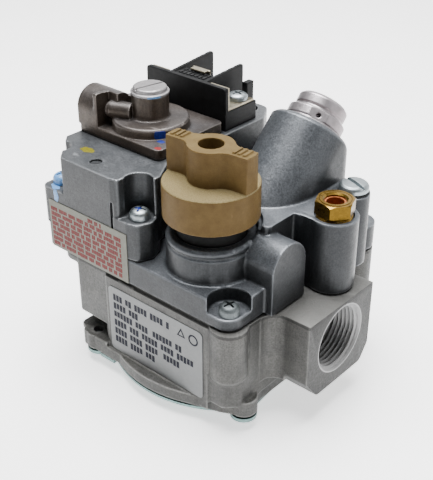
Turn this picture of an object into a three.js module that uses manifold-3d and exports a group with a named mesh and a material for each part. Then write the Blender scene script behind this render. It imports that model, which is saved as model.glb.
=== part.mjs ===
// Combination gas valve: two die-cast bodies, an operator housing, a servo regulator,
// a gas cock with knob, a thermocouple magnet unit, a pilot outlet and a terminal block.
// Millimetres. +X points to the outlet, -Y to the front label, +Z up.
// While the pieces are made, z = 0 is the joint face between the two castings.
import * as THREE from 'three';
import { mergeVertices } from 'three/addons/utils/BufferGeometryUtils.js';
import { ConvexGeometry } from 'three/addons/geometries/ConvexGeometry.js';
import Module from 'manifold-3d';

const wasm = await Module();
wasm.setup();

// castings
const FACE = 56;
const PORT_HALF = 20.5;
const PORT_Z = -16;
const MOUTH_R = 14;
const BORE_R = 12.3;
const FRONT = -43;
const PAD_FRONT = -44;
const LOWER_TOP = -0.4;
const UPPER_FOOT = 0.4;
const DECK = 11;
const PLATFORM = 30;
const BODY_BOTTOM = -41;
const FLANGE_TOP = -34;
const CAVITY_ROOF = -27;
const CAVITY_R = 38;
const SEAT_LIP = -30.2;
// main valve axis and the bolt circle of the bottom plate
const MX = -4.2;
const MY = -0.6;
const PLATE_T = 1.6;
const PLATE_R = 48.3;
const RIM_X = -1.2;
const DIAPHRAGM_T = 0.8;
// gas cock and knob
const KX = 11.6;
const KY = -24;
const BOSS_TOP = 25.4;
const KNOB_CLEARANCE = 28;
const KNOB_R = 18.1;
const KNOB_FOOT = 32;
const KNOB_SHELF = 46;
const KNOB_TOP = 60;
// magnet unit: axis leaning 45 degrees toward the back
const TX = 13.7;
const TY = 15.5;
const TOWER_R = 16.7;
const TOWER_LEN = 24.5;
const TOWER_BORE = 12.5;
const LEAN = -Math.PI / 4;
// operator housing
const HOUSING_FOOT = 11.4;
const HOUSING_TOP = 43;
const SHELF = 27;
// regulator
const RX = -36.5;
const RY = -6;
const REG_FOOT = 43.5;
const REG_PLATE = 47.5;
const REG_DISC = 51.5;
const REG_TOP = 61.2;
const bonnetScrewSpots = [[-57, 10.4]];
// solenoid
const SX = -37;
const SY = 28;
// pilot outlet and pilot adjustment
const PX = 43.6;
const PY = 8.5;
const AX = 39.7;
const AY = 26.6;
// terminal block
const BLOCK_X0 = -60;
const BLOCK_X1 = -16;
const BLOCK_Y0 = 15.5;
const BLOCK_Y1 = 36;

const group = new THREE.Group();
group.name = 'gas_valve';

function solid(geometry) {
  geometry.deleteAttribute('normal');
  geometry.deleteAttribute('uv');
  const welded = mergeVertices(geometry, 1e-4);
  const index = welded.index.array;
  const kept = [];
  for (let i = 0; i < index.length; i += 3) {
    const [a, b, c] = [index[i], index[i + 1], index[i + 2]];
    if (a !== b && b !== c && a !== c) kept.push(a, b, c);
  }
  const vertProperties = new Float32Array(welded.attributes.position.array);
  const triVerts = new Uint32Array(kept);
  return new wasm.Manifold(new wasm.Mesh({ numProp: 3, vertProperties, triVerts }));
}

function join(...pieces) {
  return pieces.reduce((whole, piece) => whole.add(piece));
}

function cut(piece, ...tools) {
  return tools.reduce((left, tool) => left.subtract(tool), piece);
}

function box(x0, x1, y0, y1, z0, z1) {
  const geometry = new THREE.BoxGeometry(x1 - x0, y1 - y0, z1 - z0);
  geometry.translate((x0 + x1) / 2, (y0 + y1) / 2, (z0 + z1) / 2);
  return solid(geometry);
}

// corner list [x, y, radius] to a closed outline with rounded corners
function outline(corners) {
  const points = [];
  const count = corners.length;
  for (let i = 0; i < count; i += 1) {
    const [x, y, radius = 0] = corners[i];
    const here = new THREE.Vector2(x, y);
    const before = new THREE.Vector2(...corners[(i + count - 1) % count].slice(0, 2));
    const after = new THREE.Vector2(...corners[(i + 1) % count].slice(0, 2));
    if (radius === 0) {
      points.push(here);
      continue;
    }
    const u = before.clone().sub(here).normalize();
    const v = after.clone().sub(here).normalize();
    const half = Math.acos(THREE.MathUtils.clamp(u.dot(v), -1, 1)) / 2;
    const run = radius / Math.tan(half);
    const centre = here.clone().add(u.clone().add(v).normalize().multiplyScalar(radius / Math.sin(half)));
    const start = here.clone().addScaledVector(u, run).sub(centre);
    const end = here.clone().addScaledVector(v, run).sub(centre);
    const from = Math.atan2(start.y, start.x);
    let sweep = Math.atan2(end.y, end.x) - from;
    if (sweep > Math.PI) sweep -= 2 * Math.PI;
    if (sweep < -Math.PI) sweep += 2 * Math.PI;
    const steps = Math.max(2, Math.ceil(Math.abs(sweep) / 0.8));
    for (let k = 0; k <= steps; k += 1) {
      const angle = from + (sweep * k) / steps;
      points.push(new THREE.Vector2(centre.x + radius * Math.cos(angle), centre.y + radius * Math.sin(angle)));
    }
  }
  return points;
}

function prism(corners, z0, z1) {
  const shape = new THREE.Shape(outline(corners));
  const geometry = new THREE.ExtrudeGeometry(shape, { depth: z1 - z0, bevelEnabled: false });
  geometry.translate(0, 0, z0);
  return solid(geometry);
}

// prism whose outline lies in (y, z) and runs along x
function prismX(corners, x0, x1) {
  const turn = new THREE.Matrix4().makeBasis(
    new THREE.Vector3(0, 1, 0),
    new THREE.Vector3(0, 0, 1),
    new THREE.Vector3(1, 0, 0),
  );
  return prism(corners, x0, x1).transform(turn.elements);
}

// turned piece from a profile [radius, height] going up the outside
function turned(profile, x = 0, y = 0, facets = 0) {
  const widest = Math.max(...profile.map(([r]) => r));
  const sides = facets || Math.round(8 + widest * 0.55);
  const points = profile.map(([r, z]) => new THREE.Vector2(r, z));
  let area = 0;
  for (let i = 0; i < points.length; i += 1) {
    const a = points[i];
    const b = points[(i + 1) % points.length];
    area += a.x * b.y - b.x * a.y;
  }
  if (area < 0) points.reverse();
  const closed = points[0].x > 0 || points[points.length - 1].x > 0;
  if (closed) points.push(points[0].clone());
  const geometry = new THREE.LatheGeometry(points, sides);
  geometry.rotateX(Math.PI / 2);
  geometry.translate(x, y, 0);
  return solid(geometry);
}

function cyl(x, y, z0, z1, r, rTop = r) {
  return turned([[0, z0], [r, z0], [rTop, z1], [0, z1]], x, y);
}

function tube(x, y, z0, z1, rOut, rIn) {
  return turned([[rIn, z0], [rOut, z0], [rOut, z1], [rIn, z1]], x, y);
}

// round bar between two points
function bar(from, to, r, rEnd = r) {
  const a = new THREE.Vector3(...from);
  const b = new THREE.Vector3(...to);
  const along = b.clone().sub(a);
  const spin = new THREE.Quaternion().setFromUnitVectors(new THREE.Vector3(0, 0, 1), along.clone().normalize());
  const move = new THREE.Matrix4().compose(a, spin, new THREE.Vector3(1, 1, 1));
  return cyl(0, 0, 0, along.length(), r, rEnd).transform(move.elements);
}

// local axis z along the leaning magnet unit, measured from the platform
function leaning(piece) {
  const spin = new THREE.Quaternion().setFromAxisAngle(new THREE.Vector3(1, 0, 0), LEAN);
  const move = new THREE.Matrix4().compose(new THREE.Vector3(TX, TY, PLATFORM), spin, new THREE.Vector3(1, 1, 1));
  return piece.transform(move.elements);
}

function coil(x, y, z0, z1, radius, wire, turns) {
  const points = [];
  const perTurn = 7;
  const low = z0 + wire;
  const high = z1 - wire;
  for (let i = 0; i <= turns * perTurn; i += 1) {
    const angle = (2 * Math.PI * i) / perTurn;
    const height = low + ((high - low) * i) / (turns * perTurn);
    points.push(new THREE.Vector3(x + radius * Math.cos(angle), y + radius * Math.sin(angle), height));
  }
  const path = new THREE.CatmullRomCurve3(points);
  const section = new THREE.Shape();
  section.absarc(0, 0, wire * 1.1, 0, 2 * Math.PI);
  const options = { steps: turns * perTurn, curveSegments: 2, bevelEnabled: false, extrudePath: path };
  return solid(new THREE.ExtrudeGeometry(section, options));
}

// clearance bore of the push rod between the magnet unit and the cock
function pushRodBore() {
  return leaning(cyl(0, 0, -52, -16, 2.3));
}

function node(name, piece, color, roughness = 0.5, metalness = 0.6) {
  const data = piece.getMesh();
  const stride = data.numProp;
  const positions = new Float32Array((data.vertProperties.length / stride) * 3);
  for (let i = 0; i < positions.length / 3; i += 1) {
    for (let k = 0; k < 3; k += 1) positions[3 * i + k] = data.vertProperties[stride * i + k];
  }
  const geometry = new THREE.BufferGeometry();
  geometry.setAttribute('position', new THREE.BufferAttribute(positions, 3));
  geometry.setIndex(Array.from(data.triVerts));
  geometry.computeVertexNormals();
  const mesh = new THREE.Mesh(geometry, new THREE.MeshStandardMaterial({ color, roughness, metalness }));
  mesh.name = name;
  group.add(mesh);
}

const CAST = 0x9aa0a6;
const CAST_DARK = 0x868c93;
const ZINC = 0x8d8378;
const STEEL = 0xc4c8ca;
const BRASS = 0xb8953f;
const BLACK = 0x1c1d1f;
const TAN = 0xcdb083;
const RUBBER = 0x222222;
const COPPER = 0xa5552c;

// pan head with a cross recess on a plain shank; head foot at z0
function crossScrew(x, y, z0, length, headR, shankR, headH) {
  const profile = [
    [0, z0 - length], [shankR, z0 - length], [shankR, z0], [headR, z0], [headR, z0 + headH * 0.6],
    [headR * 0.75, z0 + headH], [0, z0 + headH],
  ];
  const reach = headR * 0.55;
  const top = z0 + headH + 1;
  const floor = z0 + headH * 0.45;
  const slotA = box(x - reach, x + reach, y - 0.45, y + 0.45, floor, top);
  const slotB = box(x - 0.45, x + 0.45, y - reach, y + reach, floor, top);
  return cut(turned(profile, x, y), slotA, slotB);
}

// --- lower casting -------------------------------------------------------
const portOutline = [
  [-PORT_HALF, LOWER_TOP], [-PORT_HALF, -27, 3], [-13.5, -36, 3], [15.5, -36, 3], [PORT_HALF, -29, 3],
  [PORT_HALF, LOWER_TOP],
];
const boltOffset = 36.6;
const boltTurn = 6;
const bolts = [0, 1, 2, 3].map((i) => {
  const angle = ((225 + boltTurn + 90 * i) * Math.PI) / 180;
  const reach = boltOffset * Math.SQRT2;
  return [MX + reach * Math.cos(angle), MY + reach * Math.sin(angle)];
});
const flangeOutline = [
  [-41.5, -45.7, 2.5], [17, -45.7, 6], [31, -41, 4], [39.5, -36.5, 5], [37.6, -24, 2], [37.6, 22, 2],
  [37, 36, 5], [26, 44.5, 6], [-40, 44.5, 6], [-45, 30, 4], [-45, -30, 4], [-43.8, -40.5, 1.5],
];
const frontEarOutline = [
  [-43.8, -32], [-43.8, -40.5, 1.5], [-41.5, -45.7, 2.5], [-27, -45.7], [-27, -32],
];
const bodyOutline = [
  [-46.3, FRONT, 3], [34, FRONT, 2], [38.5, -38, 2], [38.5, 37, 5], [30, 43, 5], [-46.3, 43, 6],
];
const deckOutlineLower = [
  [-55, FRONT + 0.5, 6], [34, FRONT, 2], [38.5, -38, 2], [38.5, 37, 5], [30, 43, 5], [-55, 43, 8],
];
const bodyScrewSpots = [[33, -38.5], [34.5, 39.5]];
const lobeR = 7.2;
const riser = [-28, -8];
const transfer = [14, 25.5];
const cockPocketR = 9;

let lower = join(
  prism(bodyOutline, -36, LOWER_TOP),
  prism(deckOutlineLower, -3.9, LOWER_TOP),
  prism(flangeOutline, BODY_BOTTOM, FLANGE_TOP - 2),
  cyl(RIM_X, MY, BODY_BOTTOM, FLANGE_TOP - 2, PLATE_R + 0.3).intersect(box(-60, 60, -60, -40, -60, 0)),
  prismX(portOutline, 30, FACE),
  prismX(portOutline, -FACE, -30),
  box(-27, 27, PAD_FRONT, FRONT + 1, -40, -1.4),
);
for (const [x, y] of bodyScrewSpots) {
  lower = join(lower, cyl(x, y, -22, LOWER_TOP, lobeR), cyl(x, y, -25.5, -22, lobeR - 2.6, lobeR));
}
// concave corner between the body wall and the outlet block
lower = join(lower, box(38, 45.6, -27.2, -20, -30, LOWER_TOP)).subtract(cyl(45.6, -27.3, -60, 1, 6.8));
// undercuts above the four ears
lower = cut(
  lower,
  prism([[-60, -60], [-29, -60], [-29, -35, 5], [-60, -35]], FLANGE_TOP, -26.5),
  prism([[-60, 33], [-32, 33, 5], [-32, 60], [-60, 60]], FLANGE_TOP, -26.5),
  prism([[24, 60], [38.5, 31], [60, 31], [60, 60]], FLANGE_TOP, -26),
);
lower = join(lower, prism(frontEarOutline, BODY_BOTTOM, FLANGE_TOP));
for (const [x, y] of bolts) lower = join(lower, cyl(x, y, BODY_BOTTOM, FLANGE_TOP, 5.4));
// diaphragm chamber with the main seat
const seatRing = tube(MX, MY, SEAT_LIP, CAVITY_ROOF + 0.5, 15, 11.6);
lower = cut(lower, cyl(MX, MY, BODY_BOTTOM - 1, CAVITY_ROOF, CAVITY_R));
lower = join(lower, seatRing);
// gas passages: outlet side, inlet side, riser, transfer port and cock pocket
lower = cut(
  lower,
  cyl(MX, MY, SEAT_LIP - 1, -6, 11.6),
  bar([MX, MY, PORT_Z], [40, 0, PORT_Z], 10.4),
  bar([32, 0, PORT_Z], [FACE + 1, 0, PORT_Z], BORE_R),
  bar([FACE - 2, 0, PORT_Z], [FACE + 0.01, 0, PORT_Z], BORE_R, MOUTH_R),
  bar([-34, 0, PORT_Z], [-FACE - 1, 0, PORT_Z], BORE_R),
  bar([-FACE + 2, 0, PORT_Z], [-FACE - 0.01, 0, PORT_Z], BORE_R, MOUTH_R),
  box(-36, -20, -14, 8, -24.5, -6),
  cyl(riser[0], riser[1], -10, 1, 6),
  cyl(transfer[0], transfer[1], CAVITY_ROOF - 1, 1, 5.5),
  cyl(KX, KY, -14, 1, cockPocketR),
  pushRodBore(),
);
// the front left bolt hole goes right through, the others are blind
bolts.forEach(([x, y], i) => {
  const holeTop = i === 0 ? FLANGE_TOP + 1 : FLANGE_TOP - 1.4;
  lower = cut(lower, cyl(x, y, BODY_BOTTOM - 1, holeTop, 2.3));
});
for (const [x, y] of bodyScrewSpots) lower = cut(lower, cyl(x, y, -16, 1, 2.3));
node('lower_body', lower, CAST);

// --- bottom plate, diaphragm and main valve ------------------------------
const clampRim = BODY_BOTTOM - DIAPHRAGM_T;
const dishR = 28;
const dishDepth = 4.2;
let plateDisc = turned([
  [0, clampRim - dishDepth - PLATE_T], [dishR, clampRim - dishDepth - PLATE_T],
  [dishR + 4, clampRim - PLATE_T], [PLATE_R + 4, clampRim - PLATE_T], [PLATE_R + 4, clampRim],
  [dishR + 3.2, clampRim], [dishR - 0.6, clampRim - dishDepth], [0, clampRim - dishDepth],
], MX, MY);
const sideTurn = (boltTurn * Math.PI) / 180;
const sideFlat = box(38, 70, -60, 60, -60, 0).rotate([0, 0, boltTurn]).translate([MX, MY, 0]);
const sideFlatLeft = box(-70, -39.6, -60, 60, -60, 0).rotate([0, 0, boltTurn]).translate([MX, MY, 0]);
const backFlat = box(-60, 60, 44.5, 70, -60, 0);
const rim = join(cyl(RIM_X, MY, -60, 0, PLATE_R), box(-60, -24, -45, 60, -60, 0));
plateDisc = cut(plateDisc, sideFlat, sideFlatLeft, backFlat).intersect(rim);
for (const [x, y] of bolts) plateDisc = join(plateDisc, cyl(x, y, clampRim - PLATE_T, clampRim, 5.3));
for (const [x, y] of bolts) plateDisc = cut(plateDisc, cyl(x, y, -60, 0, 2.4));
node('bottom_plate', plateDisc, STEEL, 0.35);

// diaphragm: clamped rim, slack convolution, flat middle
const liftZ = -36.2;
let diaphragm = turned([
  [0, liftZ - DIAPHRAGM_T], [24, liftZ - DIAPHRAGM_T], [28, liftZ + 0.7], [32, liftZ - 0.6],
  [36.6, clampRim], [PLATE_R + 4, clampRim], [PLATE_R + 4, BODY_BOTTOM], [36, BODY_BOTTOM],
  [31.6, liftZ + 0.3], [28, liftZ + 1.6], [24, liftZ], [0, liftZ],
], MX, MY);
diaphragm = cut(diaphragm, sideFlat, sideFlatLeft, backFlat).intersect(cyl(RIM_X, MY, -60, 0, PLATE_R - 0.8));
for (const [x, y] of bolts) diaphragm = cut(diaphragm, cyl(x, y, -60, 0, 6));
diaphragm = cut(diaphragm, cyl(MX, MY, -60, 0, 3));
node('main_diaphragm', diaphragm, RUBBER, 0.8, 0);

// steel stem with the plates above and below the diaphragm, and the rubber valve disc
const discTop = SEAT_LIP - 0.3;
const stem = turned([
  [0, liftZ - 2.4], [11.6, liftZ - 2.4], [11.6, liftZ - 1], [2.6, liftZ - 1], [2.6, liftZ], [20, liftZ], [20, liftZ + 0.9], [3.2, liftZ + 0.9],
  [3.2, discTop - 2.2], [13.6, discTop - 2.2], [13.6, discTop - 1.4], [2.2, discTop - 1.4], [2.2, discTop + 3],
  [0, discTop + 3],
], MX, MY);
node('main_valve_stem', stem, STEEL, 0.35);
node('main_valve_disc', tube(MX, MY, discTop - 1.4, discTop, 13.8, 2.4), RUBBER, 0.8, 0);
const springFloor = clampRim - dishDepth;
node('main_valve_spring', coil(MX, MY, springFloor, liftZ - 2.4, 9, 0.55, 3), STEEL, 0.3);
bolts.forEach(([x, y], i) => {
  const foot = clampRim - PLATE_T;
  const screw = crossScrew(x, y, 0, 7.6, 3.8, 2.1, 2.2).rotate([180, 0, 0]);
  node(`bottom_screw_${i + 1}`, screw.translate([0, 2 * y, foot]), STEEL, 0.35);
});

// --- gasket between the castings -----------------------------------------
const deckOutline = [
  [-60.5, PAD_FRONT, 3], [38, PAD_FRONT, 6.5], [38, -24.8, 0.5], [41.2, -24.8, 0.5], [41.2, -5.4, 0.5],
  [36, -5, 1], [36, 38, 4], [28, 45, 6], [-60.5, 45, 8],
];
let gasket = prism([
  [-54, -42.6, 5], [37, -42.6, 5], [37.6, 36, 4], [28, 42.6, 5], [-54, 42.6, 6],
], LOWER_TOP, UPPER_FOOT);
gasket = join(gasket, tube(PX, PY, LOWER_TOP, UPPER_FOOT, 8.9, 5));
gasket = cut(
  gasket,
  cyl(riser[0], riser[1], -2, 2, 6), cyl(transfer[0], transfer[1], -2, 2, 5.5),
  cyl(KX, KY, -2, 2, cockPocketR), cyl(PX, PY, -2, 2, 5), pushRodBore(),
);
for (const [x, y] of bodyScrewSpots) gasket = cut(gasket, cyl(x, y, -2, 2, 2.5));
node('body_gasket', gasket, RUBBER, 0.8, 0);

// --- upper casting -------------------------------------------------------
const operatorScrewSpots = [[-12.2, -37.4], [-56.4, -37], [-26, 41.2], [-54.8, 39.5]];
const platformOutline = [
  [-13.4, -16, 2], [32, -16, 2], [32, -1, 1], [36, 0, 2], [36, 27, 2],
  [30, 34, 2], [24, 42, 4], [20, 45, 3], [-13.4, 45, 3],
];
const dBoss = prismX([[-24.9, UPPER_FOOT], [-24.9, 16.8], [-5.4, 16.8], [-5.4, UPPER_FOOT]], 20, 41.6);
let upper = join(
  prism(deckOutline, UPPER_FOOT, DECK),
  prism(platformOutline, DECK - 1, PLATFORM),
  dBoss,
  bar([20, -15.15, 16.8], [41.6, -15.15, 16.8], 9.75),
  turned([
    [0, DECK - 1], [17, DECK - 1], [17, BOSS_TOP - 4.4], [16.5, BOSS_TOP - 3.6], [16.5, BOSS_TOP - 3],
    [17.1, BOSS_TOP - 2.2], [17.1, BOSS_TOP - 1.2], [16, BOSS_TOP], [0, BOSS_TOP],
  ], KX, KY),
  cyl(PX, PY, UPPER_FOOT, PLATFORM, 9.3),
  box(30, 41, 0, 9, UPPER_FOOT, PLATFORM),
  cyl(AX, AY, UPPER_FOOT, 31, 6.5),
  box(30, AX, AY - 6.5, AY + 6.5, UPPER_FOOT, PLATFORM),
);
// tower for the magnet unit: a leaning round column with its back filled straight down to the platform
const towerSides = 30;
const rimPlace = new THREE.Matrix4().makeRotationX(LEAN).setPosition(TX, TY, PLATFORM);
const towerPoints = [];
for (let i = 0; i < towerSides; i += 1) {
  const angle = (2 * Math.PI * i) / towerSides;
  const [cos, sin] = [Math.cos(angle), Math.sin(angle)];
  const rim = new THREE.Vector3(TOWER_R * cos, TOWER_R * sin, TOWER_LEN - 1.4).applyMatrix4(rimPlace);
  const innerR = TOWER_R - 1.3;
  towerPoints.push(
    rim,
    new THREE.Vector3(innerR * cos, innerR * sin, TOWER_LEN).applyMatrix4(rimPlace),
    new THREE.Vector3(rim.x, rim.y, PLATFORM - 1),
    new THREE.Vector3(TX + TOWER_R * cos, TY - 1 + TOWER_R * Math.SQRT2 * sin, PLATFORM - 1),
  );
}
upper = join(upper, solid(new ConvexGeometry(towerPoints)));
// corner pocket for the body screw
const pocket = join(cyl(33, -38.5, 5, 40, 8), box(33, 50, -60, -34, 5, 40), box(27.6, 50, -60, -38.5, 5, 40));
upper = cut(upper, pocket);
upper = join(upper, cyl(...bodyScrewSpots[1], UPPER_FOOT, DECK, lobeR)).subtract(cyl(...bodyScrewSpots[1], DECK, 60, 5.2));
// under-deck channel from the riser to the cock, cock bore, magnet chamber and seat
upper = cut(
  upper,
  prism([[-33, -14], [-22, -14], [-4, -30], [4, -30], [4, -20], [-6, -20], [-22, -3], [-33, -3]], 0, 7),
  cyl(KX, KY, 0, 19.2, 8.9, 10.7),
  cyl(KX, KY, 19, 22.2, 10.7),
  cyl(KX, KY, 22, KNOB_CLEARANCE + 1, 13.6),
  leaning(cyl(0, 0, -8, TOWER_LEN + 1, TOWER_BORE)),
  leaning(cyl(0, 0, -17, -7, 5.8)),
  pushRodBore(),
  bar([KX, KY + 5, 11], [TX, 4.4, 18.9], 3.8),
  cyl(transfer[0], transfer[1], 0, 21, 5.5),
);
for (const [x, y] of bodyScrewSpots) upper = cut(upper, cyl(x, y, 0, 40, 2.3));
for (const [x, y] of operatorScrewSpots) upper = cut(upper, cyl(x, y, 2.4, DECK + 1, 2.3));
// pilot bores and the servo bleed to the operator
upper = cut(
  upper,
  cyl(PX, PY, 28.2, PLATFORM + 1, 7.6),
  cyl(PX, PY, 0, 29, 4.9),
  cyl(AX, AY, 6, 32, 3.4),
  bar([AX, AY, 8], [PX, PY, 8], 1.6),
  cyl(SX, SY, 0, DECK + 1, 2),
  cyl(KX, KY, BOSS_TOP, KNOB_CLEARANCE + 0.1, 17.2),
  cyl(KX, KY, KNOB_CLEARANCE, 90, KNOB_R + 0.8),
);
node('upper_body', upper, CAST_DARK);

// --- gas cock, stem and knob ---------------------------------------------
let plug = turned([
  [0, 2.4], [8.74, 2.4], [10.4, 19], [0, 19],
], KX, KY);
plug = cut(
  plug,
  cyl(KX, KY, 0, 13, 7.4),
  box(KX - 3.3, KX + 3.3, KY - 3.3, KY + 3.3, 12, 20),
  bar([KX, KY, 11], [KX, KY + 14, 11], 3.4).intersect(box(-40, 60, -60, 60, 0, 13)),
  box(KX - 14, KX, KY - 4, KY + 4, 0, 6.5),
);
node('cock_plug', plug, BRASS, 0.35, 0.9);

// stem: socket for the knob, square drive, cam and cone that moves the push rod
let knobStem = turned([
  [0, -8], [2.9, -8], [3.2, -6.2], [5.9, 1.6], [5.9, 8], [3, 8], [3, 12], [0, 12],
], KX, KY);
knobStem = join(knobStem, box(KX - 2.9, KX + 2.9, KY - 2.9, KY + 2.9, 10, 21.8), cyl(KX, KY, 21.8, 47, 3.2));
knobStem = cut(knobStem, box(KX - 4, KX + 4, KY + 2, KY + 5, 38, 50));
node('knob_stem', knobStem, BRASS, 0.35, 0.9);

const guide = turned([
  [3.7, 22], [13.3, 22], [13.3, 33.6], [12.4, 34.4], [9.2, 34.4], [9.2, 30], [3.7, 30],
], KX, KY);
node('stem_guide', guide, BLACK, 0.7, 0);
node('knob_spring', coil(KX, KY, 30, 41, 6.4, 0.55, 4), STEEL, 0.3);

const hubR = 8.7;
const wingHalf = 3.5;
const filletR = 6;
const filletX = Math.sqrt((hubR + filletR) ** 2 - (wingHalf + filletR) ** 2);
let wings = join(
  cyl(0, 0, KNOB_SHELF - 1, KNOB_TOP, hubR),
  box(-KNOB_R, KNOB_R, -wingHalf, wingHalf, KNOB_SHELF - 1, KNOB_TOP),
);
for (const sx of [-1, 1]) {
  for (const sy of [-1, 1]) {
    const corner = [[0, 0], [sx * filletX, 0], [sx * filletX, sy * (wingHalf + filletR)]];
    if (sx * sy < 0) corner.reverse();
    const patch = prism(corner, KNOB_SHELF - 1, KNOB_TOP);
    const scoop = cyl(sx * filletX, sy * (wingHalf + filletR), 0, 90, filletR);
    wings = join(wings, patch.subtract(scoop));
  }
}
wings = wings.intersect(cyl(0, 0, 0, 90, KNOB_R));
let knob = join(
  wings,
  turned([
    [0, KNOB_FOOT], [KNOB_R - 0.5, KNOB_FOOT], [KNOB_R, KNOB_FOOT + 0.5], [KNOB_R, KNOB_SHELF - 0.6],
    [KNOB_R - 0.6, KNOB_SHELF], [0, KNOB_SHELF],
  ]),
);
for (const sx of [-1, 1]) {
  for (let i = 0; i < 3; i += 1) {
    const x = sx * (11.4 + 2.2 * i);
    knob = join(knob, box(x - 0.6, x + 0.6, -2.6, 2.6, KNOB_TOP - 0.5, KNOB_TOP + 0.7));
  }
}
knob = cut(
  knob,
  cyl(0, 0, KNOB_FOOT - 1, 41, 15.4),
  cyl(0, 0, 40, 47.4, 3.5),
  cyl(0, 0, 49, KNOB_TOP + 2, 4.7),
);
node('knob', knob.rotate([0, 0, 5]).translate([KX, KY, 0]), TAN, 0.7, 0);

// --- magnet unit in the leaning tower ------------------------------------
const armature = turned([
  [0, -8], [1.7, -8], [1.7, -5.1], [7.4, -5.1], [7.4, -4.2], [1.7, -4.2], [1.7, 11], [0, 11],
]);
const pushRod = turned([[0, -49], [1, -49], [1.8, -48.2], [1.8, -8.3], [0, -8.3]]);
const magnetCan = turned([
  [0, 16], [2.2, 16], [2.2, 10.8], [5.6, 10.8], [5.6, 6], [9.2, 6], [9.2, 18.6], [12.2, 18.6],
  [12.2, 21.6], [3, 21.6], [3, 24], [0, 24],
]);
let magnetNut = turned([
  [4.6, 21.6], [12.2, 21.6], [12.2, TOWER_LEN], [11.9, TOWER_LEN + 0.4], [11.9, 30.2], [10, 30.9],
  [10, 31.7], [10.4, 32.1], [10.4, 35.6], [9.2, 36.8], [4.6, 36.8],
]);
// two wrench flats on the lower ring
magnetNut = cut(magnetNut, box(-20, 20, -20, -10.6, 26, 30.2), box(-20, 20, 10.6, 20, 26, 30.2));
node('push_rod', leaning(pushRod), STEEL, 0.3);
node('safety_armature', leaning(armature), STEEL, 0.3);
node('safety_disc', leaning(tube(0, 0, -7.6, -5.1, 8.2, 1.9)), RUBBER, 0.8, 0);
node('safety_spring', leaning(coil(0, 0, -4.2, 7.4, 4.2, 0.45, 4)), STEEL, 0.3);
node('magnet_unit', leaning(magnetCan), BRASS, 0.4, 0.8);
node('magnet_nut', leaning(magnetNut), STEEL, 0.35);

// --- pilot outlet and pilot adjustment -----------------------------------
let pilotNut = join(
  turned([[0, 20], [4.7, 20], [4.7, 28.4], [6.9, 28.4], [6.9, 31], [0, 31]], PX, PY),
  turned([[0, 31], [6.9, 31], [7.9, 31.8], [7.9, 35.8], [6.9, 36.5], [0, 36.5]], 0, 0, 6)
    .rotate([0, 0, 51]).translate([PX, PY, 0]),
);
pilotNut = cut(pilotNut, cyl(PX, PY, 23, 38, 4), cyl(PX, PY, 19, 24, 2.4));
node('pilot_nut', pilotNut, BRASS, 0.3, 0.9);
const needle = turned([[0, 7.5], [0.6, 7.5], [1.6, 10], [3.1, 10.8], [3.1, 24], [0, 24]], AX, AY);
node('pilot_adjust_screw', needle.subtract(box(AX - 4, AX + 4, AY - 0.4, AY + 0.4, 22.6, 25)), BRASS, 0.4, 0.9);
const capHead = turned([
  [0, 26], [3.1, 26], [3.1, 31.8], [5.9, 31.8], [5.9, 33.4], [4.8, 34.8], [0, 35.2],
], AX, AY);
const capSlot = box(-8, 8, -0.8, 0.8, 33.6, 37).rotate([0, 0, -20]).translate([AX, AY, 0]);
node('pilot_cap', capHead.subtract(capSlot), STEEL, 0.35);
node('pilot_cap_ring', tube(AX, AY, 31, 31.8, 6.2, 3.3), RUBBER, 0.8, 0);

// --- operator housing ----------------------------------------------------
const shelfOutline = [
  [-61.5, PAD_FRONT, 3], [-20.5, PAD_FRONT, 0.5], [-12.9, PAD_FRONT, 0.5], [-8.4, -43, 2.5], [-6, -37, 3], [-8.4, -31, 3],
  [-13.9, -26, 2], [-13.9, 38, 4], [-20, 46, 5], [-55, 46, 5], [-61.5, 40, 5],
];
const crownOutline = [
  [-61.5, -32, 4], [-49, PAD_FRONT, 3], [-20.6, PAD_FRONT, 0.4], [-17.4, -43.4, 1.2], [-16.5, -38, 2], [-12, -33.4, 4],
  [-7.4, -34.2, 2], [-7.8, -30.5, 1.5], [-13.9, -20, 4], [-13.9, 38, 4], [-20, 48, 5], [-55, 48, 5], [-61.5, 40, 5],
];
const roomOutline = [
  [-58.6, -28, 4], [-48.4, -40.6, 3], [-20, -40.6, 2], [-19.4, -31, 3], [-16.6, -20, 3], [-16.6, 34, 4],
  [-23, 44, 3], [-52, 44, 3], [-58.6, 36, 4],
];
let housing = join(
  prism(shelfOutline, HOUSING_FOOT, SHELF),
  prism(crownOutline, HOUSING_FOOT + 5, HOUSING_TOP),
);
const crownPocket = cyl(-12.2, -37.4, SHELF, 60, 5.6);
const leftPocket = join(
  prism([[-70, -60], [-48, -60], [-48, -44], [-61.6, -29], [-70, -29]], SHELF, 60),
  cyl(-56.4, -37, SHELF, 60, 4.6),
);
housing = cut(housing, crownPocket, leftPocket);
let room = prism(roomOutline, HOUSING_FOOT - 1, HOUSING_TOP - 2.6);
for (const [x, y] of operatorScrewSpots) room = room.subtract(cyl(x, y, 0, 60, 5));
housing = cut(
  housing,
  room,
  cyl(RX, RY, HOUSING_TOP - 1.4, HOUSING_TOP + 1, 12.6),
  cyl(RX + 8, RY, 38, HOUSING_TOP, 1.5),
  cyl(-35, -37.4, HOUSING_TOP - 1.8, HOUSING_TOP + 1, 2.4),
);
for (const [x, y] of operatorScrewSpots.slice(0, 2)) housing = cut(housing, cyl(x, y, 0, 60, 2.4));
for (const [x, y] of operatorScrewSpots.slice(2)) {
  housing = cut(housing, cyl(x, y, 0, 60, 2.4), cyl(x, y, SHELF, 60, 4.6));
}
for (const [x, y] of bonnetScrewSpots) housing = cut(housing, cyl(x, y, 38, 50, 1.8));
node('operator_housing', housing, CAST);

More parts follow.
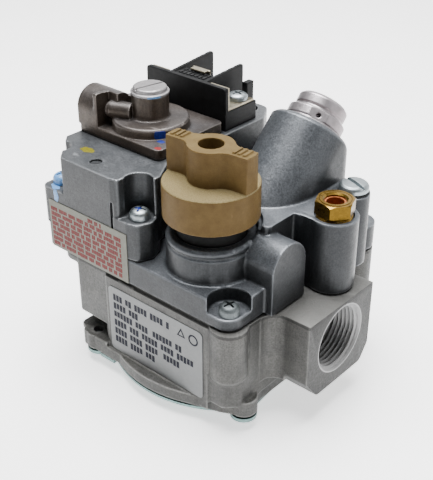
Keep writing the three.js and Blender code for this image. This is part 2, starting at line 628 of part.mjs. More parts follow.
let footGasket = prism(shelfOutline, DECK, HOUSING_FOOT);
for (const [x, y] of operatorScrewSpots) footGasket = footGasket.subtract(cyl(x, y, 0, 60, 2.5));
footGasket = footGasket.subtract(prism(roomOutline, 0, 60).subtract(
  join(...operatorScrewSpots.map(([x, y]) => cyl(x, y, 0, 60, 5))),
));
node('operator_gasket', footGasket, RUBBER, 0.8, 0);
operatorScrewSpots.forEach(([x, y], i) => {
  node(`operator_screw_${i + 1}`, crossScrew(x, y, SHELF, 23, 3.9, 2, 4), STEEL, 0.35);
});
bodyScrewSpots.forEach(([x, y], i) => {
  const seat = i === 0 ? 5 : DECK;
  node(`body_screw_${i + 1}`, crossScrew(x, y, seat, seat + 14, 3.9, 2, 4.2), STEEL, 0.35);
});

// solenoid: yoke, bobbin, winding, fixed core, plunger with seal and spring
let yoke = join(
  box(SX - 13, SX + 13, SY - 8, SY + 8, 12.4, 13.9),
  box(SX - 13, SX + 13, SY - 8, SY + 8, 37.6, 39.1),
  box(SX - 13, SX - 11.5, SY - 8, SY + 8, 12.4, 39.1),
);
yoke = cut(yoke, cyl(SX, SY, 12, 14.5, 4.5), cyl(SX, SY, 37, 40, 2.7));
node('solenoid_yoke', yoke, STEEL, 0.45);
const bobbin = turned([
  [4.8, 13.9], [10.6, 13.9], [10.6, 15.2], [5.8, 15.2], [5.8, 36.3], [10.6, 36.3], [10.6, 37.6], [4.8, 37.6],
], SX, SY);
node('solenoid_bobbin', bobbin, 0xe6e0cf, 0.6, 0);
node('solenoid_coil', tube(SX, SY, 15.2, 36.3, 10.1, 6.1), COPPER, 0.45, 0.7);
const core = turned([[0, 27.5], [4.4, 27.5], [4.4, 37.6], [2.4, 37.6], [2.4, 40.2], [0, 40.2]], SX, SY);
node('solenoid_core', core, STEEL, 0.4);
const plunger = turned([[0, 12.6], [4.1, 12.6], [4.1, 25.9], [3, 25.9], [3, 22], [0, 22]], SX, SY);
node('solenoid_plunger', plunger, STEEL, 0.4);
node('plunger_seal', cyl(SX, SY, DECK + 0.2, 12.6, 3.4), RUBBER, 0.8, 0);
node('plunger_spring', coil(SX, SY, 22, 27.5, 2.2, 0.35, 4), STEEL, 0.3);

// --- servo regulator -----------------------------------------------------
const bonnetOutline = [[-61.6, -22.4, 2], [-16.4, -22.4, 2.5], [-16.4, 15.1, 2.5], [-61.6, 15.1, 2]];
let servoSheet = prism(bonnetOutline, HOUSING_TOP, REG_FOOT);
for (const [x, y] of bonnetScrewSpots) servoSheet = servoSheet.subtract(cyl(x, y, 40, 50, 1.8));
node('servo_diaphragm', servoSheet, RUBBER, 0.8, 0);
const archZ = 53;
const archY = -14.4;
const archEnd = -45;
const ribEnd = -50.1;
let bonnet = join(
  prism(bonnetOutline, REG_FOOT, REG_PLATE),
  cyl(RX, RY, REG_PLATE, REG_DISC - 0.8, 15.5),
  cyl(RX, RY, REG_DISC - 0.8, REG_DISC, 15.5, 14.7),
  cyl(RX, RY, REG_DISC, REG_TOP, 7.4),
  cut(
    join(
      prismX([[-22.4, REG_PLATE - 1], [-22.4, archZ], [-6.4, archZ], [-6.4, REG_PLATE - 1]].reverse(), -61.6, archEnd),
      bar([-61.6, archY, archZ], [archEnd, archY, archZ], 8),
    ),
    box(ribEnd, archEnd + 1, -30, -15.5, REG_PLATE, 70),
  ),
  prismX([[-22.4, REG_PLATE - 1], [-22.4, 61.5], [-16, 61], [-16, REG_PLATE - 1]].reverse(), ribEnd - 1.9, ribEnd),
  box(archEnd - 1, RX, -10, -7, REG_DISC, 59),
  bar([-48.6, -15.8, 54], [-40, -12.5, 54], 3.5),
  bar([-49.6, -16.2, 54], [-48.6, -15.8, 54], 2.4, 3.5),
);
bonnet = cut(
  bonnet,
  cyl(RX, RY, REG_FOOT - 1, REG_FOOT + 2, 12.6),
  cyl(RX, RY, REG_FOOT, REG_TOP + 1, 5.4),
);
for (const [x, y] of bonnetScrewSpots) bonnet = bonnet.subtract(cyl(x, y, 40, 50, 1.8));
node('regulator_bonnet', bonnet, ZINC, 0.45);
bonnetScrewSpots.forEach(([x, y], i) => {
  node(`bonnet_screw_${i + 1}`, crossScrew(x, y, REG_PLATE, 7, 2.9, 1.5, 1.8), STEEL, 0.35);
});
node('regulator_spring_seat', turned([
  [0, REG_FOOT], [4.9, REG_FOOT], [4.9, REG_FOOT + 0.9], [2, REG_FOOT + 0.9], [2, REG_FOOT + 2.4], [0, REG_FOOT + 2.4],
], RX, RY), STEEL, 0.4);
node('regulator_spring', coil(RX, RY, REG_FOOT + 0.9, 53, 3.9, 0.45, 4), STEEL, 0.3);
const adjuster = turned([[0, 53], [5.1, 53], [5.1, 56.4], [0, 56.4]], RX, RY);
const adjusterSlot = box(RX - 6, RX + 6, RY - 0.5, RY + 0.5, 55.2, 57);
node('regulator_adjust_screw', adjuster.subtract(adjusterSlot), BRASS, 0.4, 0.9);
let regulatorCap = turned([
  [0, 57.2], [5.1, 57.2], [5.1, REG_TOP], [7.7, REG_TOP], [7.7, 62.2], [6.9, 62.4], [6.7, 63.6], [6.2, 64],
  [0, 64],
], RX, RY);
const regSlot = box(-9, 9, -0.4, 0.4, 63.2, 66).rotate([0, 0, 78]).translate([RX, RY, 0]);
node('regulator_cap', regulatorCap.subtract(regSlot), STEEL, 0.35);

// --- terminal block ------------------------------------------------------
const blockTop = 51;
const wallBack = 17.5;
const dividers = [-47, -28.5];
const terminalSpots = [[-53.8, 29.2], [-37.8, 30.7], [-21.2, 29.2]];
const ledgeBack = 25;
let block = join(
  box(BLOCK_X0, BLOCK_X1, BLOCK_Y0, BLOCK_Y1 - 1, HOUSING_TOP, blockTop),
  box(BLOCK_X0, BLOCK_X1, BLOCK_Y0, wallBack, HOUSING_TOP, 61),
  box(dividers[0], dividers[1], wallBack - 1, ledgeBack, HOUSING_TOP + 1, 60.6),
  box(-23, -20.2, BLOCK_Y1 - 2, 38.4, HOUSING_TOP + 3, 57.4),
);
for (const [x, back, top] of [[dividers[0], 42.5, 63.2], [dividers[1], 40.5, 62.4]]) {
  const fin = prismX([
    [wallBack - 1, HOUSING_TOP + 2], [wallBack - 1, 61], [back, top], [back, HOUSING_TOP + 8], [36, HOUSING_TOP + 2],
  ].reverse(), x - 0.8, x + 0.8);
  block = join(block, fin);
}
for (const [x, y] of terminalSpots) block = block.subtract(cyl(x, y, 44.8, 60, 2.1));
node('terminal_block', block, BLACK, 0.5, 0);
terminalSpots.forEach(([x, y], i) => {
  const front = (i === 1 ? ledgeBack : wallBack) + 0.2;
  const lip = i === 1 ? 2.2 : 0;
  const tabTop = i === 1 ? 62 : 60.8;
  let plate = join(
    box(x - 4.7, x + 4.7, front, 33.9, blockTop, blockTop + 0.9),
    box(x - 4.7, x + 4.7, front, front + 0.9, blockTop, tabTop),
    box(x - 4, x + 4, front - lip, front + 0.9, tabTop - 0.9, tabTop),
  );
  plate = plate.subtract(cyl(x, y, 40, 60, 2.1));
  node(`terminal_plate_${i + 1}`, plate, BRASS, 0.35, 0.9);
  node(`terminal_screw_${i + 1}`, crossScrew(x, y, blockTop + 0.9, 6.4, i === 1 ? 3.9 : 4.2, 1.8, 2.8), STEEL, 0.35);
});

// --- inlet strainer and labels -------------------------------------------
const strainer = turned([
  [0, -37], [10.2, -37], [11.2, -48], [12, -48], [12, -50], [10.4, -50], [9.5, -38], [0, -38],
].map(([r, x]) => [r, -x]));
const alongX = new THREE.Matrix4().makeRotationY(-Math.PI / 2);
node('inlet_strainer', strainer.transform(alongX.elements).translate([0, 0, PORT_Z]), STEEL, 0.5);
const faceFront = new THREE.Matrix4().makeRotationX(Math.PI / 2);
const label = prism([[-25, -35.5, 2], [25, -35.5, 2], [25, -5, 2], [-25, -5, 2]], 0, 0.3);
node('front_label', label.transform(faceFront.elements).translate([0, PAD_FRONT, 0]), 0xe4e5e6, 0.5, 0);
const sticker = prism([[-57.4, 0.6], [-13, 0.6], [-13, 22], [-57.4, 22]], 0, 0.3);
node('warning_sticker', sticker.transform(faceFront.elements).translate([0, PAD_FRONT, 0]), 0xddd2b4, 0.5, 0);

// origin at the middle of the footprint, lowest point at zero
const bounds = new THREE.Box3().setFromObject(group);
const middle = bounds.getCenter(new THREE.Vector3());
for (const mesh of group.children) mesh.geometry.translate(-middle.x, -middle.y, -bounds.min.z);

export default group;
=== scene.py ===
"""Looks of the gas valve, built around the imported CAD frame."""

import math
import random

import bmesh
import bpy
from mathutils import Matrix, Vector


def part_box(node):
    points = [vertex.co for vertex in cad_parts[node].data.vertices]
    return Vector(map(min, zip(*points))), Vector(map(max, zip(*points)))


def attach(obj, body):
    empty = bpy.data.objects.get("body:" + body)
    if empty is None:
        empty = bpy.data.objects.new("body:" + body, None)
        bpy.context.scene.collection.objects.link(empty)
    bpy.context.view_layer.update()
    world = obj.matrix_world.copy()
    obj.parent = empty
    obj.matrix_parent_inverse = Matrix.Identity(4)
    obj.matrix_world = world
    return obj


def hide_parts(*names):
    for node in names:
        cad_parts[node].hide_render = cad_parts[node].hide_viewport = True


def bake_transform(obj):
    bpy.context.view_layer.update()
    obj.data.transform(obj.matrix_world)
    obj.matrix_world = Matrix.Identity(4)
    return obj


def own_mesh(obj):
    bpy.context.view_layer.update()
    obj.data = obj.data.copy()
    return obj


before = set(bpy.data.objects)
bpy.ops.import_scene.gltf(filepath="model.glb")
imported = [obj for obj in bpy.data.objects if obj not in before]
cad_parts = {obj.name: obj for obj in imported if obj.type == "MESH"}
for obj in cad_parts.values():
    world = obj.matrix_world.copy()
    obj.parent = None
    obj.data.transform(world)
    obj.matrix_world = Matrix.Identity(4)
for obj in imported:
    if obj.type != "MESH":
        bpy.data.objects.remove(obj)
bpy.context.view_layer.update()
scene = bpy.context.scene

MM = 0.001
ARC_STEP = 0.16  # radians between the points of a rounded corner
# Sizes are in millimetres in the design frame: z = 0 is the joint face of the castings, -y is the front.

# lower casting and its pipe ports
FACE = 56
PORT_HALF = 20.5
PORT_Z = -16
MOUTH_R = 14
BORE_R = 12.3
FRONT = -43
PAD_FRONT = -44
LOWER_TOP = -0.4
BODY_BOTTOM = -41
FLANGE_TOP = -34
# diaphragm room about the main valve (MX, MY), and the round base plate
CAVITY_ROOF = -27
CAVITY_R = 38
SEAT_LIP = -30.2
SEAT_R = 11.6
MX, MY = -4.2, -0.6
PLATE_R = 48.3
RIM_X = -1.2
# upper casting
UPPER_FOOT = 0.4
DECK = 11
PLATFORM = 30
# knob and its boss (KX, KY)
KX, KY = 11.6, -24
BOSS_TOP = 25.4
KNOB_CLEARANCE = 28
KNOB_R = 18.1
KNOB_FOOT = 32
KNOB_SHELF = 46
KNOB_TOP = 60
# leaning tower (TX, TY)
TX, TY = 13.7, 15.5
TOWER_R = 16.7
TOWER_LEN = 24.5
# operator housing, regulator (RX, RY) and solenoid (SX, SY)
HOUSING_FOOT = 11.4
HOUSING_TOP = 43
SHELF = 27
RX, RY = -36.5, -6
REG_FOOT = 43.5
REG_PLATE = 47.5
REG_DISC = 51.5
REG_TOP = 61.2
REG_ROOM_R, REG_DISC_R, REG_TOWER_R = 12.6, 15.5, 7.4
SX, SY = -37, 28
# pilot nut (PX, PY) and pilot adjustment (AX, AY)
PX, PY = 43.6, 8.5
AX, AY = 39.7, 26.6
# screws, and the bolts of the base plate
BODY_SCREWS = [(33, -38.5), (34.5, 39.5)]
OPERATOR_SCREWS = [(-12.2, -37.4), (-56.4, -37), (-26, 41.2), (-54.8, 39.5)]
SCREW_BORE_R = 2.3
SCREW_SEAT = 5
BOLT_TURN = 6
BOLT_REACH = 36.6 * math.sqrt(2)
BOLTS = []
for quarter in range(4):
    angle = math.radians(225 + BOLT_TURN + 90 * quarter)
    BOLTS.append((MX + BOLT_REACH * math.cos(angle), MY + BOLT_REACH * math.sin(angle)))
LABEL_FACE = 0.3

# where the design frame stands in the row frame
lower_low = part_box("lower_body")[0]
label_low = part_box("front_label")[0]
ORIGIN = Vector((
    lower_low.x + FACE * MM, label_low.y + (LABEL_FACE - PAD_FRONT) * MM, lower_low.z - BODY_BOTTOM * MM))


# ---- solid modelling in millimetres
def solid(verts, faces):
    mesh = bpy.data.meshes.new("solid")
    mesh.from_pydata([Vector(v) for v in verts], [], faces)
    mesh.update()
    piece = bpy.data.objects.new("solid", mesh)
    scene.collection.objects.link(piece)
    return piece


def drop(piece):
    """Removes a used tool with its mesh."""
    mesh = piece.data
    bpy.data.objects.remove(piece)
    bpy.data.meshes.remove(mesh)


def settle(piece):
    """Applies the modifiers of a piece."""
    depsgraph = bpy.context.evaluated_depsgraph_get()
    mesh = bpy.data.meshes.new_from_object(piece.evaluated_get(depsgraph))
    old = piece.data
    piece.modifiers.clear()
    piece.data = mesh
    bpy.data.meshes.remove(old)
    return piece


def boolean(base, tool, operation):
    modifier = base.modifiers.new("boolean", "BOOLEAN")
    modifier.operation = operation
    modifier.solver = "MANIFOLD"
    modifier.object = tool
    settle(base)
    drop(tool)
    return base


def join(base, *parts):
    for part in parts:
        base = boolean(base, part, "UNION")
    return base


def cut(base, *tools):
    for tool in tools:
        base = boolean(base, tool, "DIFFERENCE")
    return base


def keep(base, tool):
    return boolean(base, tool, "INTERSECT")


def studded(base, spots, z0, z1, r):
    """Adds a round lug at each of the spots."""
    for x, y in spots:
        base = join(base, cyl(x, y, z0, z1, r))
    return base


def bored(base, spots, z0, z1, r):
    """Cuts a round hole at each of the spots."""
    for x, y in spots:
        base = cut(base, cyl(x, y, z0, z1, r))
    return base


def moved(piece, matrix):
    piece.data.transform(matrix)
    return piece


def spin(degrees, x=0, y=0, z=0):
    """Turn about z, then a move to (x, y, z)."""
    return Matrix.Translation((x, y, z)) @ Matrix.Rotation(math.radians(degrees), 4, "Z")


def full_turn(count):
    """Evenly spaced angles of a whole turn."""
    return [2 * math.pi * k / count for k in range(count)]


def quarter_turn(steps):
    """Angles from 0 to 90 degrees."""
    return [math.pi / 2 * k / steps for k in range(steps + 1)]


def outline(corners):
    """Corner list (x, y, radius) to a closed outline with rounded corners."""
    points = []
    count = len(corners)
    for i, corner in enumerate(corners):
        here = Vector(corner[:2])
        radius = corner[2] if len(corner) > 2 else 0
        if radius == 0:
            points.append(here)
            continue
        u = (Vector(corners[i - 1][:2]) - here).normalized()
        v = (Vector(corners[(i + 1) % count][:2]) - here).normalized()
        half = u.angle(v) / 2
        centre = here + (u + v).normalized() * (radius / math.sin(half))
        start = here + u * (radius / math.tan(half)) - centre
        end = here + v * (radius / math.tan(half)) - centre
        first = math.atan2(start.y, start.x)
        sweep = math.atan2(end.y, end.x) - first
        sweep -= 2 * math.pi * round(sweep / (2 * math.pi))
        steps = max(2, math.ceil(abs(sweep) / ARC_STEP))
        for k in range(steps + 1):
            a = first + sweep * k / steps
            points.append(centre + radius * Vector((math.cos(a), math.sin(a))))
    return points


def stacked(rings, flip=False):
    """Solid through rings of equally many points, flip turns the faces between them."""
    n, last = len(rings[0]), len(rings) - 1
    faces = [tuple(range(n - 1, -1, -1)), tuple(range(n * last, n * last + n))]
    for low in range(0, n * last, n):
        for i in range(n):
            a, b = low + i, low + (i + 1) % n
            faces.append((b, a, n + a, n + b) if flip else (a, b, n + b, n + a))
    return solid([v for ring in rings for v in ring], faces)


def prism(corners, z0, z1):
    points = outline(corners)
    area = sum(a.x * b.y - b.x * a.y for a, b in zip(points, points[1:] + points[:1]))
    if area < 0:
        points.reverse()
    return stacked([[(p.x, p.y, z) for p in points] for z in (z0, z1)])


ALONG_X = Matrix(((0, 0, 1, 0), (1, 0, 0, 0), (0, 1, 0, 0), (0, 0, 0, 1)))


def prism_x(corners, x0, x1):
    """Prism whose outline lies in (y, z) and runs along x."""
    return moved(prism(corners, x0, x1), ALONG_X)


def box(x0, x1, y0, y1, z0, z1):
    return prism([(x0, y0), (x1, y0), (x1, y1), (x0, y1)], z0, z1)


def turned(profile, x=0, y=0, sides=0):
    """Turned piece from a profile (radius, height) going up the outside."""
    sides = sides or int(36 + 2.2 * max(r for r, _ in profile))
    has_core = profile[0][0] == 0 and profile[-1][0] == 0
    rings, verts = [], []
    for r, z in profile:
        if r == 0:
            verts.append((x, y, z))
            rings.append([len(verts) - 1] * sides)
            continue
        rings.append(list(range(len(verts), len(verts) + sides)))
        verts += [(x + r * math.cos(a), y + r * math.sin(a), z) for a in full_turn(sides)]
    pairs = list(zip(rings, rings[1:]))
    if not has_core:
        pairs.append((rings[-1], rings[0]))
    faces = []
    for low, high in pairs:
        for k in range(sides):
            j = (k + 1) % sides
            face = [low[k], low[j], high[j], high[k]]
            face = [v for i, v in enumerate(face) if v != face[i - 1]]
            if len(face) > 2:
                faces.append(tuple(face))
    return solid(verts, faces)


def cyl(x, y, z0, z1, r, top=None):
    return turned([(0, z0), (r, z0), (r if top is None else top, z1), (0, z1)], x, y)


def ball(r):
    angles = [math.pi * (k / 16 - 0.5) for k in range(1, 16)]
    arc = [(r * math.cos(a), r * math.sin(a)) for a in angles]
    return turned([(0, -r)] + arc + [(0, r)])


def tube(x, y, z0, z1, outer, inner):
    return turned([(inner, z0), (outer, z0), (outer, z1), (inner, z1)], x, y)


def bar(start, end, r, r_end=None):
    """Round bar between two points."""
    a, b = Vector(start), Vector(end)
    aim = Vector((0, 0, 1)).rotation_difference(b - a).to_matrix().to_4x4()
    return moved(cyl(0, 0, 0, (b - a).length, r, r_end), Matrix.Translation(a) @ aim)


LEAN = Matrix.Translation((TX, TY, PLATFORM)) @ Matrix.Rotation(-math.pi / 4, 4, "X")


def leaning(piece):
    """Local z runs along the magnet unit, from the platform up."""
    return moved(piece, LEAN)


def soften(piece, voxel, rounds, share=0.35):
    """Rounds every edge of a piece by remeshing and relaxing it, and keeps a share of its faces."""
    remesh = piece.modifiers.new("remesh", "REMESH")
    remesh.mode = "VOXEL"
    remesh.voxel_size = voxel
    remesh.use_smooth_shade = True
    smooth = piece.modifiers.new("smooth", "SMOOTH")
    smooth.factor = 0.5
    smooth.iterations = rounds
    thin = piece.modifiers.new("thin", "DECIMATE")
    thin.ratio = share
    return settle(piece)


def shaded(piece, degrees=32):
    """Smooth shading with sharp edges above an angle."""
    for polygon in piece.data.polygons:
        polygon.use_smooth = True
    piece.data.set_sharp_from_angle(angle=math.radians(degrees))
    return piece


def dress(piece, name, slot, material, *nodes):
    """Names a finished piece and moves it into the row frame."""
    piece.data.transform(Matrix.Translation(ORIGIN) @ Matrix.Scale(MM, 4))
    piece.name = name
    piece.data.name = name
    piece.data.materials.clear()
    piece.data.materials.append(material)
    if nodes:
        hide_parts(*nodes)
    return piece


def place(piece, name, body, *details):
    """Dresses a finished piece and puts it on its body."""
    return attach(dress(piece, name, *details), body)


def row_point(x, y, z):
    """A point of the design frame in the row frame."""
    return ORIGIN + Vector((x, y, z)) * MM


# ---- shared details
def foot_fillet(x, y, z, r, size):
    """Concave ring where a round boss of radius r stands on a surface at height z."""
    arc = [(r + size * (1 - math.sin(a)), z + size * (1 - math.cos(a))) for a in quarter_turn(6)]
    return turned([(r - 1, z - 0.6), (r + size, z - 0.6)] + arc + [(r - 1, z + size)], x, y)


def female_thread(z0, z1, crest, root, pitch):
    """Solid whose removal leaves a helical thread in a bore."""
    rings, sides = int((z1 - z0) / 0.2), 96
    verts = [(0, 0, z0)]
    for i in range(rings + 1):
        z = z0 + (z1 - z0) * i / rings
        for k in range(sides):
            turn = k / sides
            phase = (z / pitch + turn) % 1
            r = crest + (root - crest) * (1 - abs(2 * phase - 1))
            verts.append((r * math.cos(2 * math.pi * turn), r * math.sin(2 * math.pi * turn), z))
    verts.append((0, 0, z1))
    top = len(verts) - 1
    faces = []
    for k in range(sides):
        j = (k + 1) % sides
        faces.append((0, 1 + j, 1 + k))
        for i in range(rings):
            low, high = 1 + i * sides, 1 + (i + 1) * sides
            faces.append((low + k, low + j, high + j, high + k))
        faces.append((top, 1 + rings * sides + k, 1 + rings * sides + j))
    return solid(verts, faces)


def coil(x, y, z0, z1, radius, wire, turns):
    """Coil spring of round wire between two heights, its ends closed flat against the seats."""
    steps, sides, gap = 28 * turns, 10, 0.04
    low, high = z0 + wire + gap, z1 - wire - gap
    rings = []
    for i in range(steps + 1):
        a = 2 * math.pi * turns * i / steps
        z = low + (high - low) * i / steps
        ring = []
        for b in full_turn(sides):
            r = radius + wire * math.cos(b)
            ring.append((x + r * math.cos(a), y + r * math.sin(a), z + wire * math.sin(b)))
        rings.append(ring)
    return shaded(stacked(rings, flip=True), 50)


def pan_screw(x, y, z, length, head_r, shank_r, head_h, turn):
    """Pan head screw with a cross recess and a threaded shank, head foot at z."""
    pitch, root, tip = 0.7, shank_r * 0.86, 0.8 - length
    profile = [(0, -length), (shank_r * 0.6, -length), (root, tip)]
    z_now = tip
    while z_now < -1.2:
        profile += [(shank_r, z_now + pitch / 2), (root, z_now + pitch)]
        z_now += pitch
    profile += [(root, 0), (head_r - 0.15, 0), (head_r, 0.15)]
    for a in quarter_turn(8)[:-1]:
        profile.append((head_r * math.cos(a) ** 0.62, head_h * 0.42 + head_h * 0.58 * math.sin(a)))
    piece = turned(profile + [(0, head_h)], 0, 0, 48)
    # the cross recess narrows with depth
    reach, half = head_r * 0.62, 0.42
    for quarter in range(2):
        wing = box(-reach, reach, -half, half, 0, 1)
        for v in wing.data.vertices:
            deep = v.co.z < 0.5
            v.co.x *= 0.75 if deep else 1.06
            v.co.y *= 0.85 if deep else 1.1
            v.co.z = head_h * 0.2 if deep else head_h + 0.3
        piece = cut(piece, moved(wing, spin(90 * quarter)))
    piece = cut(piece, cyl(0, 0, head_h * 0.12, head_h + 0.4, 0.5, 0.85))
    return shaded(moved(piece, spin(turn, x, y, z)), 28)


# ---- lower casting
PORT_OUTLINE = [
    (-PORT_HALF, LOWER_TOP), (-PORT_HALF, -27, 3), (-13.5, -36, 3), (15.5, -36, 3), (PORT_HALF, -29, 3),
    (PORT_HALF, LOWER_TOP),
]
FLANGE_OUTLINE = [
    (-41.5, -45.7, 2.5), (17, -45.7, 6), (31, -41, 4), (39.5, -36.5, 5), (37.6, -24, 2), (37.6, 22, 2),
    (37, 36, 5), (26, 44.5, 6), (-40, 44.5, 6), (-45, 30, 4), (-45, -30, 4), (-43.8, -40.5, 1.5),
]
FRONT_EAR_OUTLINE = [(-43.8, -32), (-43.8, -40.5, 1.5), (-41.5, -45.7, 2.5), (-27, -45.7), (-27, -32)]
OUTLET_SIDE = [(34, FRONT, 2), (38.5, -38, 2), (38.5, 37, 5), (30, 43, 5)]
BODY_OUTLINE = [(-46.3, FRONT, 3), *OUTLET_SIDE, (-46.3, 43, 6)]
LOWER_DECK_OUTLINE = [(-55, FRONT + 0.5, 6), *OUTLET_SIDE, (-55, 43, 8)]
LOBE_R = 7.2
RISER, RISER_R = (-28, -8), 6
TRANSFER, TRANSFER_R = (14, 25.5), 5.5
COCK_POCKET_R = 9


def push_rod_bore():
    return leaning(cyl(0, 0, -52, -16, 2.3))


def port_bore(side):
    """Threaded pipe port with a chamfered mouth, side is +1 for the outlet and -1 for the inlet."""
    depth = 17
    thread = female_thread(-depth, 0.5, BORE_R, BORE_R + 1.15, 25.4 / 14)
    mouth = cyl(0, 0, -2.2, 0.2, BORE_R, MOUTH_R + 0.15)
    bore = join(thread, cyl(0, 0, -24, -depth + 0.5, BORE_R), mouth)
    bore = moved(bore, Matrix.Rotation(side * math.pi / 2, 4, "Y"))
    return moved(bore, Matrix.Translation((side * FACE, 0, PORT_Z)))


def lower_casting():
    front_rim = cyl(RIM_X, MY, BODY_BOTTOM, FLANGE_TOP - 2, PLATE_R + 0.3)
    body = join(
        prism(BODY_OUTLINE, -36, LOWER_TOP),
        prism(LOWER_DECK_OUTLINE, -3.9, LOWER_TOP),
        prism(FLANGE_OUTLINE, BODY_BOTTOM, FLANGE_TOP - 2),
        keep(front_rim, box(-60, 60, -60, -40, -60, 0)),
        prism_x(PORT_OUTLINE, 30, FACE),
        prism_x(PORT_OUTLINE, -FACE, -30),
        box(-27, 27, PAD_FRONT, FRONT + 1, -40, -1.4),
        box(-19, -11, PAD_FRONT - 0.01, FRONT + 1, -3, -0.9),
    )
    for x, y in BODY_SCREWS:
        body = join(
            body, cyl(x, y, -22, LOWER_TOP, LOBE_R), cyl(x, y, -25.5, -22, LOBE_R - 2.6, LOBE_R))
    # hollow corner in front of the outlet block
    body = cut(join(body, box(38, 45.6, -27.2, -20, -30, LOWER_TOP)), cyl(45.6, -27.3, -60, 1, 6.8))
    # recesses over the ears of the flange: front left, back left, back right
    body = cut(
        body,
        prism([(-60, -60), (-29, -60), (-29, -35, 5), (-60, -35)], FLANGE_TOP, -26.5),
        prism([(-60, 33), (-32, 33, 5), (-32, 60), (-60, 60)], FLANGE_TOP, -26.5),
        prism([(24, 60), (38.5, 31), (60, 31), (60, 60)], FLANGE_TOP, -26),
    )
    body = join(body, prism(FRONT_EAR_OUTLINE, BODY_BOTTOM, FLANGE_TOP))
    body = studded(body, BOLTS, BODY_BOTTOM, FLANGE_TOP, 5.4)
    body = soften(cut(body, cyl(MX, MY, BODY_BOTTOM - 1, CAVITY_ROOF, CAVITY_R)), 0.42, 2)
    # machined joint face, port faces and base
    body = cut(
        body,
        box(-70, 70, -60, 60, LOWER_TOP - 0.06, 5),
        box(FACE - 0.1, 70, -60, 60, -60, 5),
        box(-70, -FACE + 0.1, -60, 60, -60, 5),
        box(-70, 70, -60, 60, -60, BODY_BOTTOM + 0.06),
    )
    body = join(body, tube(MX, MY, SEAT_LIP, CAVITY_ROOF + 0.8, 15, SEAT_R))
    body = cut(
        body,
        cyl(MX, MY, SEAT_LIP - 1, -6, SEAT_R),
        bar((MX, MY, PORT_Z), (40, 0, PORT_Z), 10.4),
        port_bore(1),
        port_bore(-1),
        box(-36, -20, -14, 8, -24.5, -6),
        cyl(*RISER, -10, 1, RISER_R),
        cyl(*TRANSFER, CAVITY_ROOF - 1, 1, TRANSFER_R),
        cyl(KX, KY, -14, 1, COCK_POCKET_R),
        push_rod_bore(),
    )
    # the front bolt goes through its ear, the others end inside
    for i, (x, y) in enumerate(BOLTS):
        body = cut(body, cyl(x, y, BODY_BOTTOM - 1, FLANGE_TOP + (1 if i == 0 else -1.4), SCREW_BORE_R))
    return shaded(bored(body, BODY_SCREWS, -16, 1, SCREW_BORE_R), 30)


# ---- upper casting
DECK_OUTLINE = [
    (-60.5, PAD_FRONT, 3), (38, PAD_FRONT, 6.5), (38, -24.8, 0.5), (41.2, -24.8, 0.5), (41.2, -5.4, 0.5),
    (36, -5, 1), (36, 38, 4), (28, 45, 6), (-60.5, 45, 8),
]
PLATFORM_OUTLINE = [
    (-13.4, -16, 2), (32, -16, 2), (32, -1, 1), (36, 0, 2), (36, 27, 2),
    (30, 34, 2), (24, 42, 4), (20, 45, 3), (-13.4, 45, 3),
]


def tower():
    """Leaning round column whose back is filled straight down to the platform."""
    shell = bmesh.new()
    for a in full_turn(96):
        cos, sin = math.cos(a), math.sin(a)
        rim = LEAN @ Vector((TOWER_R * cos, TOWER_R * sin, TOWER_LEN - 1.4))
        shell.verts.new(rim)
        shell.verts.new(LEAN @ Vector(((TOWER_R - 1.3) * cos, (TOWER_R - 1.3) * sin, TOWER_LEN)))
        shell.verts.new((rim.x, rim.y, PLATFORM - 1))
        shell.verts.new((TX + TOWER_R * cos, TY - 1 + TOWER_R * math.sqrt(2) * sin, PLATFORM - 1))
    hull = bmesh.ops.convex_hull(shell, input=shell.verts)
    left_over = hull["geom_interior"] + hull["geom_unused"]
    inner = {e for e in left_over if isinstance(e, bmesh.types.BMVert)}
    bmesh.ops.delete(shell, geom=list(inner), context="VERTS")
    piece = solid([], [])
    shell.to_mesh(piece.data)
    shell.free()
    return piece


